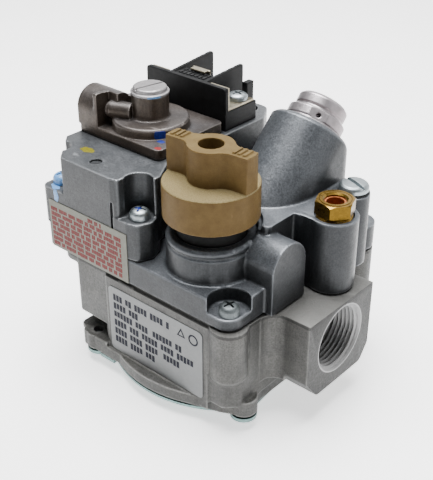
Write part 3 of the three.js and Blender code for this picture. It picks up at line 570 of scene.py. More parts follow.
def upper_casting():
    body = join(
        prism(DECK_OUTLINE, UPPER_FOOT, DECK),
        prism(PLATFORM_OUTLINE, DECK - 1, PLATFORM),
        prism_x([(-24.9, UPPER_FOOT), (-24.9, 16.8), (-5.4, 16.8), (-5.4, UPPER_FOOT)], 20, 41.6),
        bar((20, -15.15, 16.8), (41.6, -15.15, 16.8), 9.75),
        turned([
            (0, DECK - 1), (17, DECK - 1), (17, BOSS_TOP - 4.4), (16.5, BOSS_TOP - 3.6), (16.5, BOSS_TOP - 3),
            (17.1, BOSS_TOP - 2.2), (17.1, BOSS_TOP - 1.2), (16, BOSS_TOP), (0, BOSS_TOP),
        ], KX, KY, 120),
        foot_fillet(KX, KY, DECK, 17, 1.0),
        cyl(PX, PY, UPPER_FOOT, PLATFORM, 9.3),
        box(30, 41, 0, 9, UPPER_FOOT, PLATFORM),
        cyl(AX, AY, UPPER_FOOT, 31, 6.5),
        box(30, AX, AY - 6.5, AY + 6.5, UPPER_FOOT, PLATFORM),
    )
    body = join(body, tower())
    x, y = BODY_SCREWS[0]
    pocket = join(cyl(x, y, SCREW_SEAT, 40, 8), box(x, 50, -60, -34, SCREW_SEAT, 40))
    body = cut(body, join(pocket, box(27.6, 50, -60, y, SCREW_SEAT, 40)))
    body = join(body, cyl(*BODY_SCREWS[1], UPPER_FOOT, DECK, LOBE_R))
    body = cut(
        body,
        cyl(*BODY_SCREWS[1], DECK, 60, 5.2),
        cyl(KX, KY, BOSS_TOP, KNOB_CLEARANCE + 0.1, 17.2),
        cyl(KX, KY, KNOB_CLEARANCE, 90, KNOB_R + 0.8),
    )
    body = soften(body, 0.42, 2)
    channel = [(-33, -14), (-22, -14), (-4, -30), (4, -30), (4, -20), (-6, -20), (-22, -3), (-33, -3)]
    notch = [(-15, -1.8, 1), (-12.9, -1.8, 1), (-12.9, 1.8, 1), (-15, 1.8, 1)]
    body = cut(
        body,
        box(-80, 80, -80, 80, -10, UPPER_FOOT + 0.06),
        prism(channel, 0, 7),
        cyl(KX, KY, 0, 19.2, 8.9, 10.7),
        cyl(KX, KY, 19, 22.2, 10.7),
        cyl(KX, KY, 22, KNOB_CLEARANCE + 1, 13.6),
        leaning(cyl(0, 0, -8, TOWER_LEN + 1, 12.5)),
        leaning(cyl(0, 0, TOWER_LEN - 0.7, TOWER_LEN + 1, 12.5, 14.2)),
        leaning(cyl(0, 0, -17, -7, 5.8)),
        push_rod_bore(),
        bar((KX, KY + 5, 11), (TX, 4.4, 18.9), 3.8),
        cyl(*TRANSFER, 0, 21, TRANSFER_R),
        leaning(prism(notch, TOWER_LEN - 1.3, 60)),
    )
    body = bored(body, BODY_SCREWS, 0, 40, SCREW_BORE_R)
    body = bored(body, OPERATOR_SCREWS, 2.4, DECK + 1, SCREW_BORE_R)
    body = cut(
        body,
        cyl(PX, PY, 28.2, PLATFORM + 1, 7.6),
        cyl(PX, PY, 0, 29, 4.9),
        cyl(AX, AY, 6, 32, 3.4),
        bar((AX, AY, 8), (PX, PY, 8), 1.6),
        cyl(SX, SY, 0, DECK + 1, 2),
    )
    return shaded(body, 30)


def joint_gasket():
    edge = [(-54, -42.6, 5), (37, -42.6, 5), (37.6, 36, 4), (28, 42.6, 5), (-54, 42.6, 6)]
    sheet = prism(edge, LOWER_TOP, UPPER_FOOT)
    sheet = join(sheet, tube(PX, PY, LOWER_TOP, UPPER_FOOT, 8.9, 5))
    sheet = cut(
        sheet,
        cyl(*RISER, -2, 2, RISER_R),
        cyl(*TRANSFER, -2, 2, TRANSFER_R),
        cyl(KX, KY, -2, 2, COCK_POCKET_R),
        cyl(PX, PY, -2, 2, 5),
        push_rod_bore(),
    )
    return shaded(bored(sheet, BODY_SCREWS, -2, 2, 2.5))


# ---- bottom plate
CLAMP_RIM = BODY_BOTTOM - 0.8
PLATE_T = 1.6
DISH_DEPTH = 4.2
LIFT_Z = -36.2


def side_flats():
    """What is trimmed off the round edge of the plate and the diaphragm: right, left and back."""
    turn = spin(BOLT_TURN, MX, MY)
    right, left = box(38, 70, -60, 60, -60, 0), box(-70, -39.6, -60, 60, -60, 0)
    return moved(right, turn), moved(left, turn), box(-60, 60, 44.5, 70, -60, 0)


def bottom_plate():
    dish, low, under = 28, CLAMP_RIM - DISH_DEPTH, CLAMP_RIM - PLATE_T
    plate = turned([
        (0, low - PLATE_T), (dish, low - PLATE_T), (dish + 4, under), (PLATE_R + 4, under),
        (PLATE_R + 4, CLAMP_RIM), (dish + 3.2, CLAMP_RIM), (dish - 0.6, low), (0, low),
    ], MX, MY, 180)
    plate = cut(plate, *side_flats())
    rim = turned([
        (0, -60), (PLATE_R - 0.5, -60), (PLATE_R - 0.5, under), (PLATE_R, under + 0.5), (PLATE_R, -40),
        (0, -40),
    ], RIM_X, MY, 180)
    plate = keep(plate, join(rim, box(-60, -24, -45, 60, -60, -40)))
    plate = studded(plate, BOLTS, under, CLAMP_RIM, 5.3)
    return shaded(bored(plate, BOLTS, -60, 0, 2.4), 25)


def main_diaphragm():
    """Rubber sheet with a clamped rim, a slack fold and a flat middle."""
    sheet = turned([
        (0, LIFT_Z - 0.8), (24, LIFT_Z - 0.8), (26, LIFT_Z - 0.1), (28, LIFT_Z + 0.6),
        (30, LIFT_Z + 0.3), (32, LIFT_Z - 0.6), (34.3, -39.4), (36.6, CLAMP_RIM + 0.02),
        (PLATE_R + 4, CLAMP_RIM + 0.02), (PLATE_R + 4, BODY_BOTTOM), (36.2, BODY_BOTTOM), (34, -38.6),
        (31.6, LIFT_Z + 0.2), (29.6, LIFT_Z + 1.1), (28, LIFT_Z + 1.4), (26, LIFT_Z + 0.7),
        (24, LIFT_Z - 0.04), (0, LIFT_Z - 0.04),
    ], MX, MY, 120)
    sheet = cut(sheet, *side_flats(), cyl(MX, MY, -60, 0, 3.3))
    sheet = keep(sheet, cyl(RIM_X, MY, -60, 0, PLATE_R - 0.8))
    return shaded(bored(sheet, BOLTS, -60, 0, 6), 50)


# ---- operator housing
SHELF_OUTLINE = [
    (-61.5, PAD_FRONT, 3), (-20.5, PAD_FRONT, 0.5), (-12.9, PAD_FRONT, 0.5), (-8.4, -43, 2.5), (-6, -37, 3),
    (-8.4, -31, 3), (-13.9, -26, 2), (-13.9, 38, 4), (-20, 46, 5), (-55, 46, 5), (-61.5, 40, 5),
]
CROWN_OUTLINE = [
    (-61.5, -32, 4), (-49, PAD_FRONT, 3), (-20.6, PAD_FRONT, 0.4), (-17.4, -43.4, 1.2), (-16.5, -38, 2),
    (-12, -33.4, 4), (-7.4, -34.2, 2), (-7.8, -30.5, 1.5), (-13.9, -20, 4), (-13.9, 38, 4), (-20, 48, 5),
    (-55, 48, 5), (-61.5, 40, 5),
]
ROOM_OUTLINE = [
    (-58.6, -28, 4), (-48.4, -40.6, 3), (-20, -40.6, 2), (-19.4, -31, 3), (-16.6, -20, 3), (-16.6, 34, 4),
    (-23, 44, 3), (-52, 44, 3), (-58.6, 36, 4),
]
BLIND_HOLE = (-35, -37.4)
BONNET_SCREW, BONNET_BORE_R = (-57, 10.4), 1.8


def housing_casting():
    body = join(
        prism(SHELF_OUTLINE, HOUSING_FOOT, SHELF),
        prism(CROWN_OUTLINE, HOUSING_FOOT + 5, HOUSING_TOP),
    )
    # the crown steps back round the two front screws
    left_pocket = join(
        prism([(-70, -60), (-48, -60), (-48, -44), (-61.6, -29), (-70, -29)], SHELF, 60),
        cyl(*OPERATOR_SCREWS[1], SHELF, 60, 4.6),
    )
    body = cut(body, cyl(*OPERATOR_SCREWS[0], SHELF, 60, 5.6), left_pocket)
    # groove between the front wall and the screw column
    body = cut(body, box(-21.2, -20.1, PAD_FRONT - 1, PAD_FRONT + 1.2, HOUSING_FOOT - 1, SHELF + 6))
    room = prism(ROOM_OUTLINE, HOUSING_FOOT - 1, HOUSING_TOP - 2.6)
    room = bored(room, OPERATOR_SCREWS, 0, 60, 5)
    body = bored(body, OPERATOR_SCREWS[2:], SHELF, 60, 4.6)
    body = cut(soften(body, 0.4, 2), room)
    body = cut(
        body,
        box(-80, 0, -80, 80, 0, HOUSING_FOOT + 0.05),
        cyl(RX, RY, HOUSING_TOP - 1.4, HOUSING_TOP + 1, REG_ROOM_R),
        cyl(RX + 8, RY, 38, HOUSING_TOP, 1.5),
        cyl(*BLIND_HOLE, HOUSING_TOP - 0.9, HOUSING_TOP + 1, 2.4),
        cyl(*BLIND_HOLE, HOUSING_TOP - 0.4, HOUSING_TOP + 0.4, 2.3, 3.0),
        cyl(*BONNET_SCREW, 38, 50, BONNET_BORE_R),
        box(-80, 0, 48, 60, 0, 60),
    )
    return shaded(bored(body, OPERATOR_SCREWS, 0, 60, 2.4), 30)


def housing_gasket():
    ring = prism(SHELF_OUTLINE, DECK, HOUSING_FOOT)
    ring = cut(ring, bored(prism(ROOM_OUTLINE, 0, 60), OPERATOR_SCREWS, 0, 60, 5))
    return shaded(bored(ring, OPERATOR_SCREWS, 0, 60, 2.5))


# ---- servo regulator
BONNET_LEFT = -61.6
BONNET_OUTLINE = [(BONNET_LEFT, -22.4, 2), (-16.4, -22.4, 2.5), (-16.4, 15.1, 2.5), (BONNET_LEFT, 15.1, 2)]
ARCH_Y, ARCH_Z, ARCH_R = -14.4, 53, 8
ARCH_END = -45
RIB_END = -50.1


def regulator_bonnet():
    foot = REG_PLATE - 1
    arch_front, arch_back = ARCH_Y - ARCH_R, ARCH_Y + ARCH_R
    arch_wall = [(arch_front, foot), (arch_front, ARCH_Z), (arch_back, ARCH_Z), (arch_back, foot)]
    arch = join(
        prism_x(arch_wall, BONNET_LEFT, ARCH_END),
        bar((BONNET_LEFT, ARCH_Y, ARCH_Z), (ARCH_END, ARCH_Y, ARCH_Z), ARCH_R),
    )
    body = join(
        prism(BONNET_OUTLINE, REG_FOOT, REG_PLATE),
        cyl(RX, RY, foot, REG_DISC - 0.8, REG_DISC_R),
        cyl(RX, RY, REG_DISC - 0.8, REG_DISC, REG_DISC_R, REG_DISC_R - 0.8),
        cyl(RX, RY, REG_DISC - 1, REG_TOP, REG_TOWER_R),
        foot_fillet(RX, RY, REG_DISC, REG_TOWER_R, 1.2),
        cut(arch, box(RIB_END, ARCH_END + 1, -30, -15.5, REG_PLATE, 70)),
        prism_x([(-22.4, foot), (-22.4, 61.5, 1), (-16, 61, 0.6), (-16, foot)], RIB_END - 1.9, RIB_END),
        box(ARCH_END - 1, RX, -10, -7, REG_DISC, 59),
        bar((-48.4, -15.8, 54), (-40, -12.5, 54), 3.5),
        moved(ball(3.5), Matrix.Translation((-48.4, -15.8, 54)) @ Matrix.Diagonal((0.5, 1, 1, 1))),
    )
    body = soften(body, 0.3, 2)
    body = cut(
        body,
        box(-80, 0, -60, 60, 0, REG_FOOT + 0.04),
        cyl(RX, RY, REG_FOOT - 1, REG_FOOT + 2, REG_ROOM_R),
        cyl(RX, RY, REG_FOOT, REG_TOP + 1, 5.4),
        cyl(*BONNET_SCREW, 40, 50, BONNET_BORE_R),
    )
    return shaded(body, 30)


def servo_sheet():
    sheet = prism(BONNET_OUTLINE, HOUSING_TOP, REG_FOOT)
    return shaded(cut(sheet, cyl(*BONNET_SCREW, 40, 50, BONNET_BORE_R)))


def slotted_cap():
    cap = turned([
        (0, 57.2), (5.1, 57.2), (5.1, REG_TOP), (7.7, REG_TOP), (7.7, 62.1), (6.9, 62.3), (6.7, 63.6),
        (6.2, 64), (0, 64),
    ], RX, RY)
    slot = moved(box(-9, 9, -0.4, 0.4, 63.2, 66), spin(78, RX, RY))
    return shaded(soften(cut(cap, slot), 0.16, 2, 0.6), 40)


# ---- knob and stem guide
HUB_R, WING_HALF, SCOOP_R = 8.7, 3.5, 6


def knob_piece():
    scoop_x = math.sqrt((HUB_R + SCOOP_R) ** 2 - (WING_HALF + SCOOP_R) ** 2)
    grip = join(
        cyl(0, 0, KNOB_SHELF - 1, KNOB_TOP, HUB_R),
        box(-KNOB_R, KNOB_R, -WING_HALF, WING_HALF, KNOB_SHELF - 1, KNOB_TOP),
    )
    for sx in (-1, 1):
        for sy in (-1, 1):
            corner = [(0, 0), (sx * scoop_x, 0), (sx * scoop_x, sy * (WING_HALF + SCOOP_R))]
            patch = prism(corner, KNOB_SHELF - 1, KNOB_TOP)
            grip = join(grip, cut(patch, cyl(sx * scoop_x, sy * (WING_HALF + SCOOP_R), 0, 90, SCOOP_R)))
    grip = keep(grip, cyl(0, 0, 0, 90, KNOB_R))
    disc = turned([
        (0, KNOB_FOOT), (KNOB_R - 0.5, KNOB_FOOT), (KNOB_R, KNOB_FOOT + 0.5), (KNOB_R, KNOB_SHELF - 0.4),
        (KNOB_R - 0.4, KNOB_SHELF), (0, KNOB_SHELF),
    ], 0, 0, 120)
    knob = join(disc, grip)
    # plain ridges in the place of the raised words
    for sx in (-1, 1):
        for i in range(3):
            x = sx * (11.4 + 2.2 * i)
            knob = join(knob, box(x - 0.6, x + 0.6, -2.6, 2.6, KNOB_TOP - 0.5, KNOB_TOP + 0.75))
    well = cyl(0, 0, 49, KNOB_TOP + 2, 4.7)
    knob = soften(cut(knob, well), 0.25, 3, 0.4)
    hollow, stem_hole = cyl(0, 0, KNOB_FOOT - 1, 41, 15.4), cyl(0, 0, 40, 49.5, 3.5)
    knob = cut(knob, hollow, stem_hole)
    return shaded(moved(knob, spin(5, KX, KY)), 35)


def stem_guide():
    return shaded(turned([
        (3.7, 22), (13.3, 22), (13.3, 30.4), (12.9, 30.8), (12.9, 31.2), (13.3, 31.6), (13.3, 33.6),
        (12.4, 34.4), (9.2, 34.4), (9.2, 30), (3.7, 30),
    ], KX, KY, 96), 30)


def knob_stem():
    stem = turned([
        (0, -8), (2.9, -8), (3.2, -6.2), (5.9, 1.6), (5.9, 8), (3, 8), (3, 12), (0, 12),
    ], KX, KY)
    stem = join(stem, box(KX - 2.9, KX + 2.9, KY - 2.9, KY + 2.9, 10, 21.8), cyl(KX, KY, 21.8, 47, 3.2))
    return shaded(cut(stem, box(KX - 4, KX + 4, KY + 2, KY + 5, 38, 50)), 30)


# ---- magnet unit collar
def magnet_collar():
    nut = turned([
        (4.6, 21.6), (12.2, 21.6), (12.2, TOWER_LEN), (11.9, TOWER_LEN + 0.3), (11.9, 25.5),
        (11.5, 25.8), (11.5, 26.1), (11.9, 26.4), (11.9, 29.8), (11.4, 30.2), (10.1, 30.6), (9.9, 31),
        (9.9, 31.6), (10.4, 32.1), (10.4, 35.3), (9.95, 35.9), (9.15, 36.6), (8.4, 36.8), (8.0, 36.4),
        (4.6, 36.4),
    ], 0, 0, 120)
    nut = cut(
        nut, box(-20, 20, 10.6, 20, 26, 30.4),
        moved(box(11.3, 20, -8, 8, 25.2, 30.4), spin(-56)),
        bar((7.3, -10.8, 27.7), (4.5, -6.6, 27.7), 0.95),
    )
    return shaded(leaning(soften(nut, 0.22, 2, 0.5)), 40)


# ---- pilot outlet and adjustment
def pilot_nut():
    hexagon = turned([(0, 31), (7.9, 31), (7.9, 36.5), (0, 36.5)], 0, 0, 6)
    crown = turned([
        (0, 31), (7.2, 31), (7.95, 31.5), (7.95, 35.7), (7.0, 36.4), (6.3, 36.4), (6.2, 36.25),
        (5.9, 36.25), (5.8, 36.5), (0, 36.5),
    ], 0, 0, 96)
    hexagon = moved(keep(hexagon, crown), spin(51, PX, PY))
    profile = [(0, 20), (4.7, 20), (4.7, 28.2), (6.5, 28.2)]
    for i in range(3):
        profile += [(6.9, 28.7 + 0.75 * i), (6.5, 29.05 + 0.75 * i)]
    nut = join(turned(profile + [(6.5, 31.2), (0, 31.2)], PX, PY, 72), hexagon)
    mouth = cyl(PX, PY, 35.7, 36.7, 4.0, 5.0)
    nut = cut(nut, cyl(PX, PY, 23, 38, 4.1), cyl(PX, PY, 19, 24, 2.4), mouth)
    return shaded(nut, 25)


def pilot_sleeve():
    """Copper-coloured seat ring inside the pilot nut."""
    return shaded(tube(PX, PY, 23.4, 35.2, 4.09, 3.4), 30)


def pilot_cap():
    cap = turned([
        (0, 26), (3.1, 26), (3.1, 31.8), (5.7, 31.8), (5.9, 32), (5.9, 33.4), (5.5, 34.2), (4.8, 34.8),
        (0, 35.2),
    ], AX, AY, 96)
    slot = moved(box(-8, 8, -0.8, 0.8, 33.6, 37), spin(-20, AX, AY))
    return shaded(soften(cut(cap, slot), 0.14, 1, 0.6), 40)


def ring_seal():
    profile = [(4.8 + 1.4 * math.cos(a), 31.4 + 0.4 * math.sin(a)) for a in full_turn(16)]
    return shaded(turned(profile, AX, AY, 72), 60)


# ---- terminal block
BLOCK = (-60, -16, 15.5, 36)
BLOCK_TOP = 51
WALL_BACK = 17.5
DIVIDERS = [(-47, 42.5, 63.2), (-28.5, 40.5, 62.4)]
TERMINALS = [(-53.8, 29.2), (-37.8, 30.7), (-21.2, 29.2)]
LEDGE_BACK = 25
LEDGE_TOP = 60.6


def terminal_block():
    x0, x1, y0, y1 = BLOCK
    wall = [(x0, HOUSING_TOP), (x1, HOUSING_TOP), (x1, 61, 1.2), (x0, 61, 1.2)]
    block = join(
        box(x0, x1, y0, y1 - 1, HOUSING_TOP, BLOCK_TOP),
        facing_front(prism(wall, PAD_FRONT - WALL_BACK, PAD_FRONT - y0)),
        box(DIVIDERS[0][0], DIVIDERS[1][0], WALL_BACK - 1, LEDGE_BACK, HOUSING_TOP + 1, LEDGE_TOP),
        box(-23, -20.2, y1 - 2, 38.4, HOUSING_TOP + 3, 57.4),
    )
    for x, back, top in DIVIDERS:
        fin = [
            (WALL_BACK - 1, HOUSING_TOP + 2), (WALL_BACK - 1, 61), (back, top, 0.9), (back, HOUSING_TOP + 8),
            (y1, HOUSING_TOP + 2),
        ]
        block = join(block, prism_x(fin, x - 0.8, x + 0.8))
    block = soften(block, 0.24, 2, 0.3)
    ridge = LEDGE_TOP - 0.4, LEDGE_TOP + 0.35
    for i in range(7):
        x = -44.6 + 2.1 * i
        block = join(block, box(x, x + 1.2, 18.9, 21.3 - 0.5 * (i % 2), *ridge))
        if i != 3:
            block = join(block, box(x + 0.3, x + 1.1, 22.2, 23.9, *ridge))
    return shaded(bored(block, TERMINALS, 44.8, 60, 2.1), 35)


def terminal_plate(x, y, front, lip, top):
    plate = join(
        box(x - 4.7, x + 4.7, front, 33.9, BLOCK_TOP, BLOCK_TOP + 0.9),
        box(x - 4.7, x + 4.7, front, front + 0.9, BLOCK_TOP, top),
    )
    if lip:
        plate = join(plate, box(x - 4, x + 4, front - lip, front + 0.5, top - 0.9, top))
    plate = cut(plate, cyl(x, y, 40, 60, 2.1), bar((x, 10, 56), (x, 30, 56), 0.9))
    return shaded(soften(plate, 0.14, 1, 0.5), 40)


# ---- labels
def facing_front(piece):
    """Local (x, y) become (x, z) on the front face, local z stands out of it."""
    return moved(piece, Matrix.Translation((0, PAD_FRONT, 0)) @ Matrix.Rotation(math.pi / 2, 4, "X"))


INK_LAYER = LABEL_FACE - 0.02, LABEL_FACE + 0.05


def merged(boxes):
    """One mesh from many small boxes that don't touch."""
    verts, faces = [], []
    for x0, x1, y0, y1, z0, z1 in boxes:
        n = len(verts)
        verts += [(x0, y0, z0), (x1, y0, z0), (x1, y1, z0), (x0, y1, z0)]
        verts += [(x0, y0, z1), (x1, y0, z1), (x1, y1, z1), (x0, y1, z1)]
        faces += [(n, n + 3, n + 2, n + 1), (n + 4, n + 5, n + 6, n + 7)]
        faces += [(n + i, n + (i + 1) % 4, n + 4 + (i + 1) % 4, n + 4 + i) for i in range(4)]
    return solid(verts, faces)


def bar_rows(x0, rows, cell, height, gap, seed):
    """Rows of plain blocks that stand for printed lines: (start x, z, number of cells) for each row."""
    dice = random.Random(seed)
    boxes = []
    for start, z, count in rows:
        x = x0 + start
        left = count
        while left > 0:
            word = min(left, dice.randint(2, 6))
            for _ in range(word):
                low = z + (height * 0.12 if dice.random() < 0.3 else 0)
                boxes.append((x, x + cell * (1 - gap), low, z + height, *INK_LAYER))
                x += cell
            x += cell * 0.9
            left -= word + 1
    return facing_front(merged(boxes))


def label_plate():
    edge = [(-25, -35.5, 2), (25, -35.5, 2), (25, -5, 2), (-25, -5, 2)]
    return shaded(facing_front(prism(edge, 0, LABEL_FACE)))


def label_print():
    rows = [
        (0, -11, 18), (0, -15, 8), (0, -19, 11), (21.5, -19, 9), (0, -23, 25), (0, -27, 14),
        (27, -27, 5), (0, -31, 13),
    ]
    return bar_rows(-22.4, rows, 1.75, 2.95, 0.2, 4)


def label_marks():
    """Two generic round marks: an open ring and a small triangle."""
    ring = tube(20.5, -10, *INK_LAYER, 2.4, 1.7)
    triangle = prism([(12.2, -11.2), (16.4, -11.2), (14.3, -7.4)], *INK_LAYER)
    hollow = prism([(13.1, -10.7), (15.5, -10.7), (14.3, -8.6)], 0, 1)
    return facing_front(join(cut(triangle, hollow), ring))


def sticker_plate():
    return facing_front(prism([(-57.4, 0.6), (-13, 0.6), (-13, 22), (-57.4, 22)], 0, LABEL_FACE))


def sticker_print():
    rows = [(0, 1.7 + 2.25 * i, 42) for i in range(8)] + [(22, 19.6, 8)]
    return bar_rows(-56.4, rows, 0.98, 1.8, 0.16, 7)


# ---- paint marks
def daub(oval, z, height, jitter, seed):
    """Thin blob of paint with an uneven edge on a level surface, oval is centre and radii."""
    dice = random.Random(seed)
    cx, cy, rx, ry = oval
    waves = [(dice.uniform(-1, 1) * jitter, k, dice.uniform(0, 6.28)) for k in range(2, 7)]
    ring = []
    for a in full_turn(40):
        r = 1 + sum(s * math.sin(k * a + p) for s, k, p in waves)
        ring.append((cx + rx * r * math.cos(a), cy + ry * r * math.sin(a)))
    foot = [(x, y, z - 0.15) for x, y in ring]
    shoulder = [(x, y, z + height * 0.3) for x, y in ring]
    top = [(cx + (x - cx) * 0.8, cy + (y - cy) * 0.8, z + height) for x, y in ring]
    return shaded(stacked([foot, shoulder, top]), 70)


# ---- materials: every colour, roughness and relief comes from procedural nodes
class Finish:
    """A Principled material with helpers for its node chains. Texture coordinates are in millimetres."""

    def __init__(self, name, **sockets):
        self.material = bpy.data.materials.new(name)
        self.material.use_nodes = True
        self.tree = self.material.node_tree
        self.shader = self.tree.nodes["Principled BSDF"]
        for socket, value in sockets.items():
            self.shader.inputs[socket.replace("_", " ")].default_value = value
        metres = self.add("ShaderNodeTexCoord").outputs["Object"]
        self.place = self.scaled(metres, (1000, 1000, 1000))
        self.normal = None

    def add(self, kind, **inputs):
        node = self.tree.nodes.new(kind)
        for name, value in inputs.items():
            node.inputs[name.replace("_", " ")].default_value = value
        return node

    def link(self, source, target):
        self.tree.links.new(source, target)

    def feed(self, sockets, values):
        """Links or sets one socket after the other."""
        for socket, value in zip(sockets, values):
            if isinstance(value, bpy.types.NodeSocket):
                self.link(value, socket)
            else:
                socket.default_value = (*value, 1) if isinstance(value, tuple) else value

    def scaled(self, vector, scale):
        node = self.add("ShaderNodeMapping", Scale=scale)
        self.link(vector, node.inputs["Vector"])
        return node.outputs["Vector"]

    def split(self, vector):
        """The three coordinates of a vector, by name."""
        node = self.add("ShaderNodeSeparateXYZ")
        self.link(vector, node.inputs["Vector"])
        return node.outputs

    def noise(self, scale, detail=3.0, rough=0.55, stretch=None, distortion=0.0):
        sockets = {"Scale": scale, "Detail": detail, "Roughness": rough, "Distortion": distortion}
        node = self.add("ShaderNodeTexNoise", **sockets)
        self.link(self.scaled(self.place, stretch) if stretch else self.place, node.inputs["Vector"])
        return node.outputs["Fac"]

    def cells(self, scale):
        node = self.add("ShaderNodeTexVoronoi", Scale=scale)
        self.link(self.place, node.inputs["Vector"])
        return node.outputs["Distance"]

    def ramp(self, source, *stops):
        node = self.add("ShaderNodeValToRGB")
        elements = node.color_ramp.elements
        while len(elements) < len(stops):
            elements.new(0.5)
        for element, (position, value) in zip(elements, stops):
            element.position = position
            element.color = (*value, 1) if isinstance(value, tuple) else (value, value, value, 1)
        self.link(source, node.inputs["Fac"])
        return node.outputs["Color"]

    def mix(self, kind, factor, a, b):
        node = self.add("ShaderNodeMix")
        node.data_type = "RGBA"
        node.blend_type = kind
        self.feed([node.inputs[0], node.inputs[6], node.inputs[7]], [factor, a, b])
        return node.outputs[2]

    def math(self, kind, *values):
        node = self.add("ShaderNodeMath")
        node.operation = kind
        self.feed(node.inputs, values)
        return node.outputs[0]

    def times(self, color, amount, source, *stops):
        """Multiplies a colour by a ramp of a pattern."""
        return self.mix("MULTIPLY", amount, color, self.ramp(source, *stops))

    def bump(self, height, strength, distance):
        """Relief of the given depth in millimetres, stacked on the relief already there."""
        node = self.add("ShaderNodeBump", Strength=strength, Distance=distance * MM)
        self.link(height, node.inputs["Height"])
        if self.normal:
            self.link(self.normal, node.inputs["Normal"])
        self.normal = node.outputs["Normal"]

    def edges(self, low, high, inside=0.0, outside=1.0):
        """1 on outer edges, where wear and a painted highlight go, 0 elsewhere."""
        pointiness = self.add("ShaderNodeNewGeometry").outputs["Pointiness"]
        return self.ramp(pointiness, (low, inside), (high, outside))

    def crevices(self, low, high):
        """1 in inner corners, where painted shade goes, 0 elsewhere."""
        return self.edges(low, high, 1.0, 0.0)

    def level_band(self, height, reach):
        """1 on surfaces within reach of a height in the design frame, in millimetres."""
        return self.math("COMPARE", self.split(self.place)["Z"], ORIGIN.z / MM + height, reach)

    def paint_slope_light(self, color, side, slant, top):
        """Paints light and shade into a colour by how level the surface lies: upright, slanting, level."""
        level = self.split(self.add("ShaderNodeNewGeometry").outputs["Normal"])["Z"]
        return self.times(color, 1.0, level, (0.1, side), (0.45, slant), (0.85, top))

    def near_port_axis(self, radius, reach):
        """1 inside a cylinder about the pipe axis, beyond a distance from the middle."""
        at = self.split(self.place)
        across = self.math("SUBTRACT", at["Y"], ORIGIN.y / MM)
        up = self.math("SUBTRACT", at["Z"], ORIGIN.z / MM + PORT_Z)
        square = self.math("ADD", self.math("MULTIPLY", across, across), self.math("MULTIPLY", up, up))
        along = self.math("ABSOLUTE", self.math("SUBTRACT", at["X"], ORIGIN.x / MM))
        inside = self.math("LESS_THAN", square, radius * radius)
        return self.math("MULTIPLY", inside, self.math("GREATER_THAN", along, reach))

    def lines(self, scale, axis, distortion):
        node = self.add("ShaderNodeTexWave", Scale=scale, Distortion=distortion, Detail=2.0)
        node.bands_direction = axis
        self.link(self.place, node.inputs["Vector"])
        return node.outputs["Fac"]

    def done(self, color, pattern=None, smooth=0.0, rough=1.0):
        """Links colour and relief, and a roughness that a pattern moves between two limits."""
        self.link(color, self.shader.inputs["Base Color"])
        if pattern:
            self.link(self.ramp(pattern, (0.3, smooth), (0.7, rough)), self.shader.inputs["Roughness"])
        if self.normal:
            self.link(self.normal, self.shader.inputs["Normal"])
        return self.material


def cast_metal(name, dark, light, tint, metallic, rough, grain, slope_light_tones, machined=None, corner_shade=0.36):
    """Die-cast surface: cloudy tone, flow marks, fine grain, sparse pits, edges lightened for wear and a
    painted highlight, painted shade in inner corners, painted light and shade by slope.
    """
    f = Finish(name, Metallic=metallic)
    clouds = f.noise(0.09, 4.0, 0.6)
    flow = f.noise(0.35, 5.0, 0.62, stretch=(1.0, 0.45, 1.9), distortion=0.8)
    speckle = f.noise(1.5, 3.0, 0.65)
    color = f.ramp(clouds, (0.32, dark), (0.68, light))
    color = f.times(color, 0.75, flow, (0.3, 0.8), (0.5, 0.95), (0.7, 1.07))
    color = f.times(color, 0.8, speckle, (0.34, 0.62), (0.52, 1.0), (0.66, 1.28))
    drag = f.noise(0.9, 3.0, 0.6, stretch=(1.6, 1.6, 0.12))
    color = f.times(color, 0.5, drag, (0.36, 0.76), (0.56, 1.05))
    color = f.times(color, 1.0, f.noise(0.05, 1.0), (0.3, tint), (0.7, (1.0, 1.0, 1.0)))
    # painted light and shade: each face toned by how level it lies
    color = f.paint_slope_light(color, *slope_light_tones)
    # painted shade in inner corners
    color = f.mix("MULTIPLY", f.crevices(0.40, 0.485), color, (corner_shade, corner_shade, corner_shade))
    # edges lightened for wear and a painted highlight
    wear_and_highlight = f.math("MULTIPLY", f.edges(0.508, 0.57), 0.75)
    color = f.mix("MIX", wear_and_highlight, color, tuple(min(1, c * 2.3) for c in light))
    f.bump(flow, 0.35, 0.12)
    f.bump(speckle, grain, 0.16)
    pits = f.ramp(f.cells(0.9), (0.05, 0.0), (0.13, 1.0))
    f.bump(pits, 0.35, 0.1)
    if machined is not None:
        band = f.level_band(machined, 0.25)
        grooves = f.lines(1.7, "DIAGONAL", 0.2)
        f.bump(f.math("MULTIPLY", grooves, band), 0.4, 0.06)
        color = f.mix("MIX", f.math("MULTIPLY", band, 0.45), color, light)
        # painted shadow under the joint, painted shade on the milled end faces of the two pipe ports, and
        # their turned bores
        joint_shadow = f.math("MULTIPLY", f.level_band(machined - 0.75, 0.6), 0.8)
        color = f.mix("MULTIPLY", joint_shadow, color, (0.2, 0.2, 0.2))
        # painted shade on the port end faces
        color = f.mix("MULTIPLY", f.near_port_axis(60, FACE - 0.15), color, (0.12, 0.12, 0.118))
        color = f.mix("MIX", f.near_port_axis(MOUTH_R + 0.4, 36), color, (0.24, 0.24, 0.24))
    return f.done(color, f.noise(0.8, 4.0), rough - 0.09, rough + 0.1)


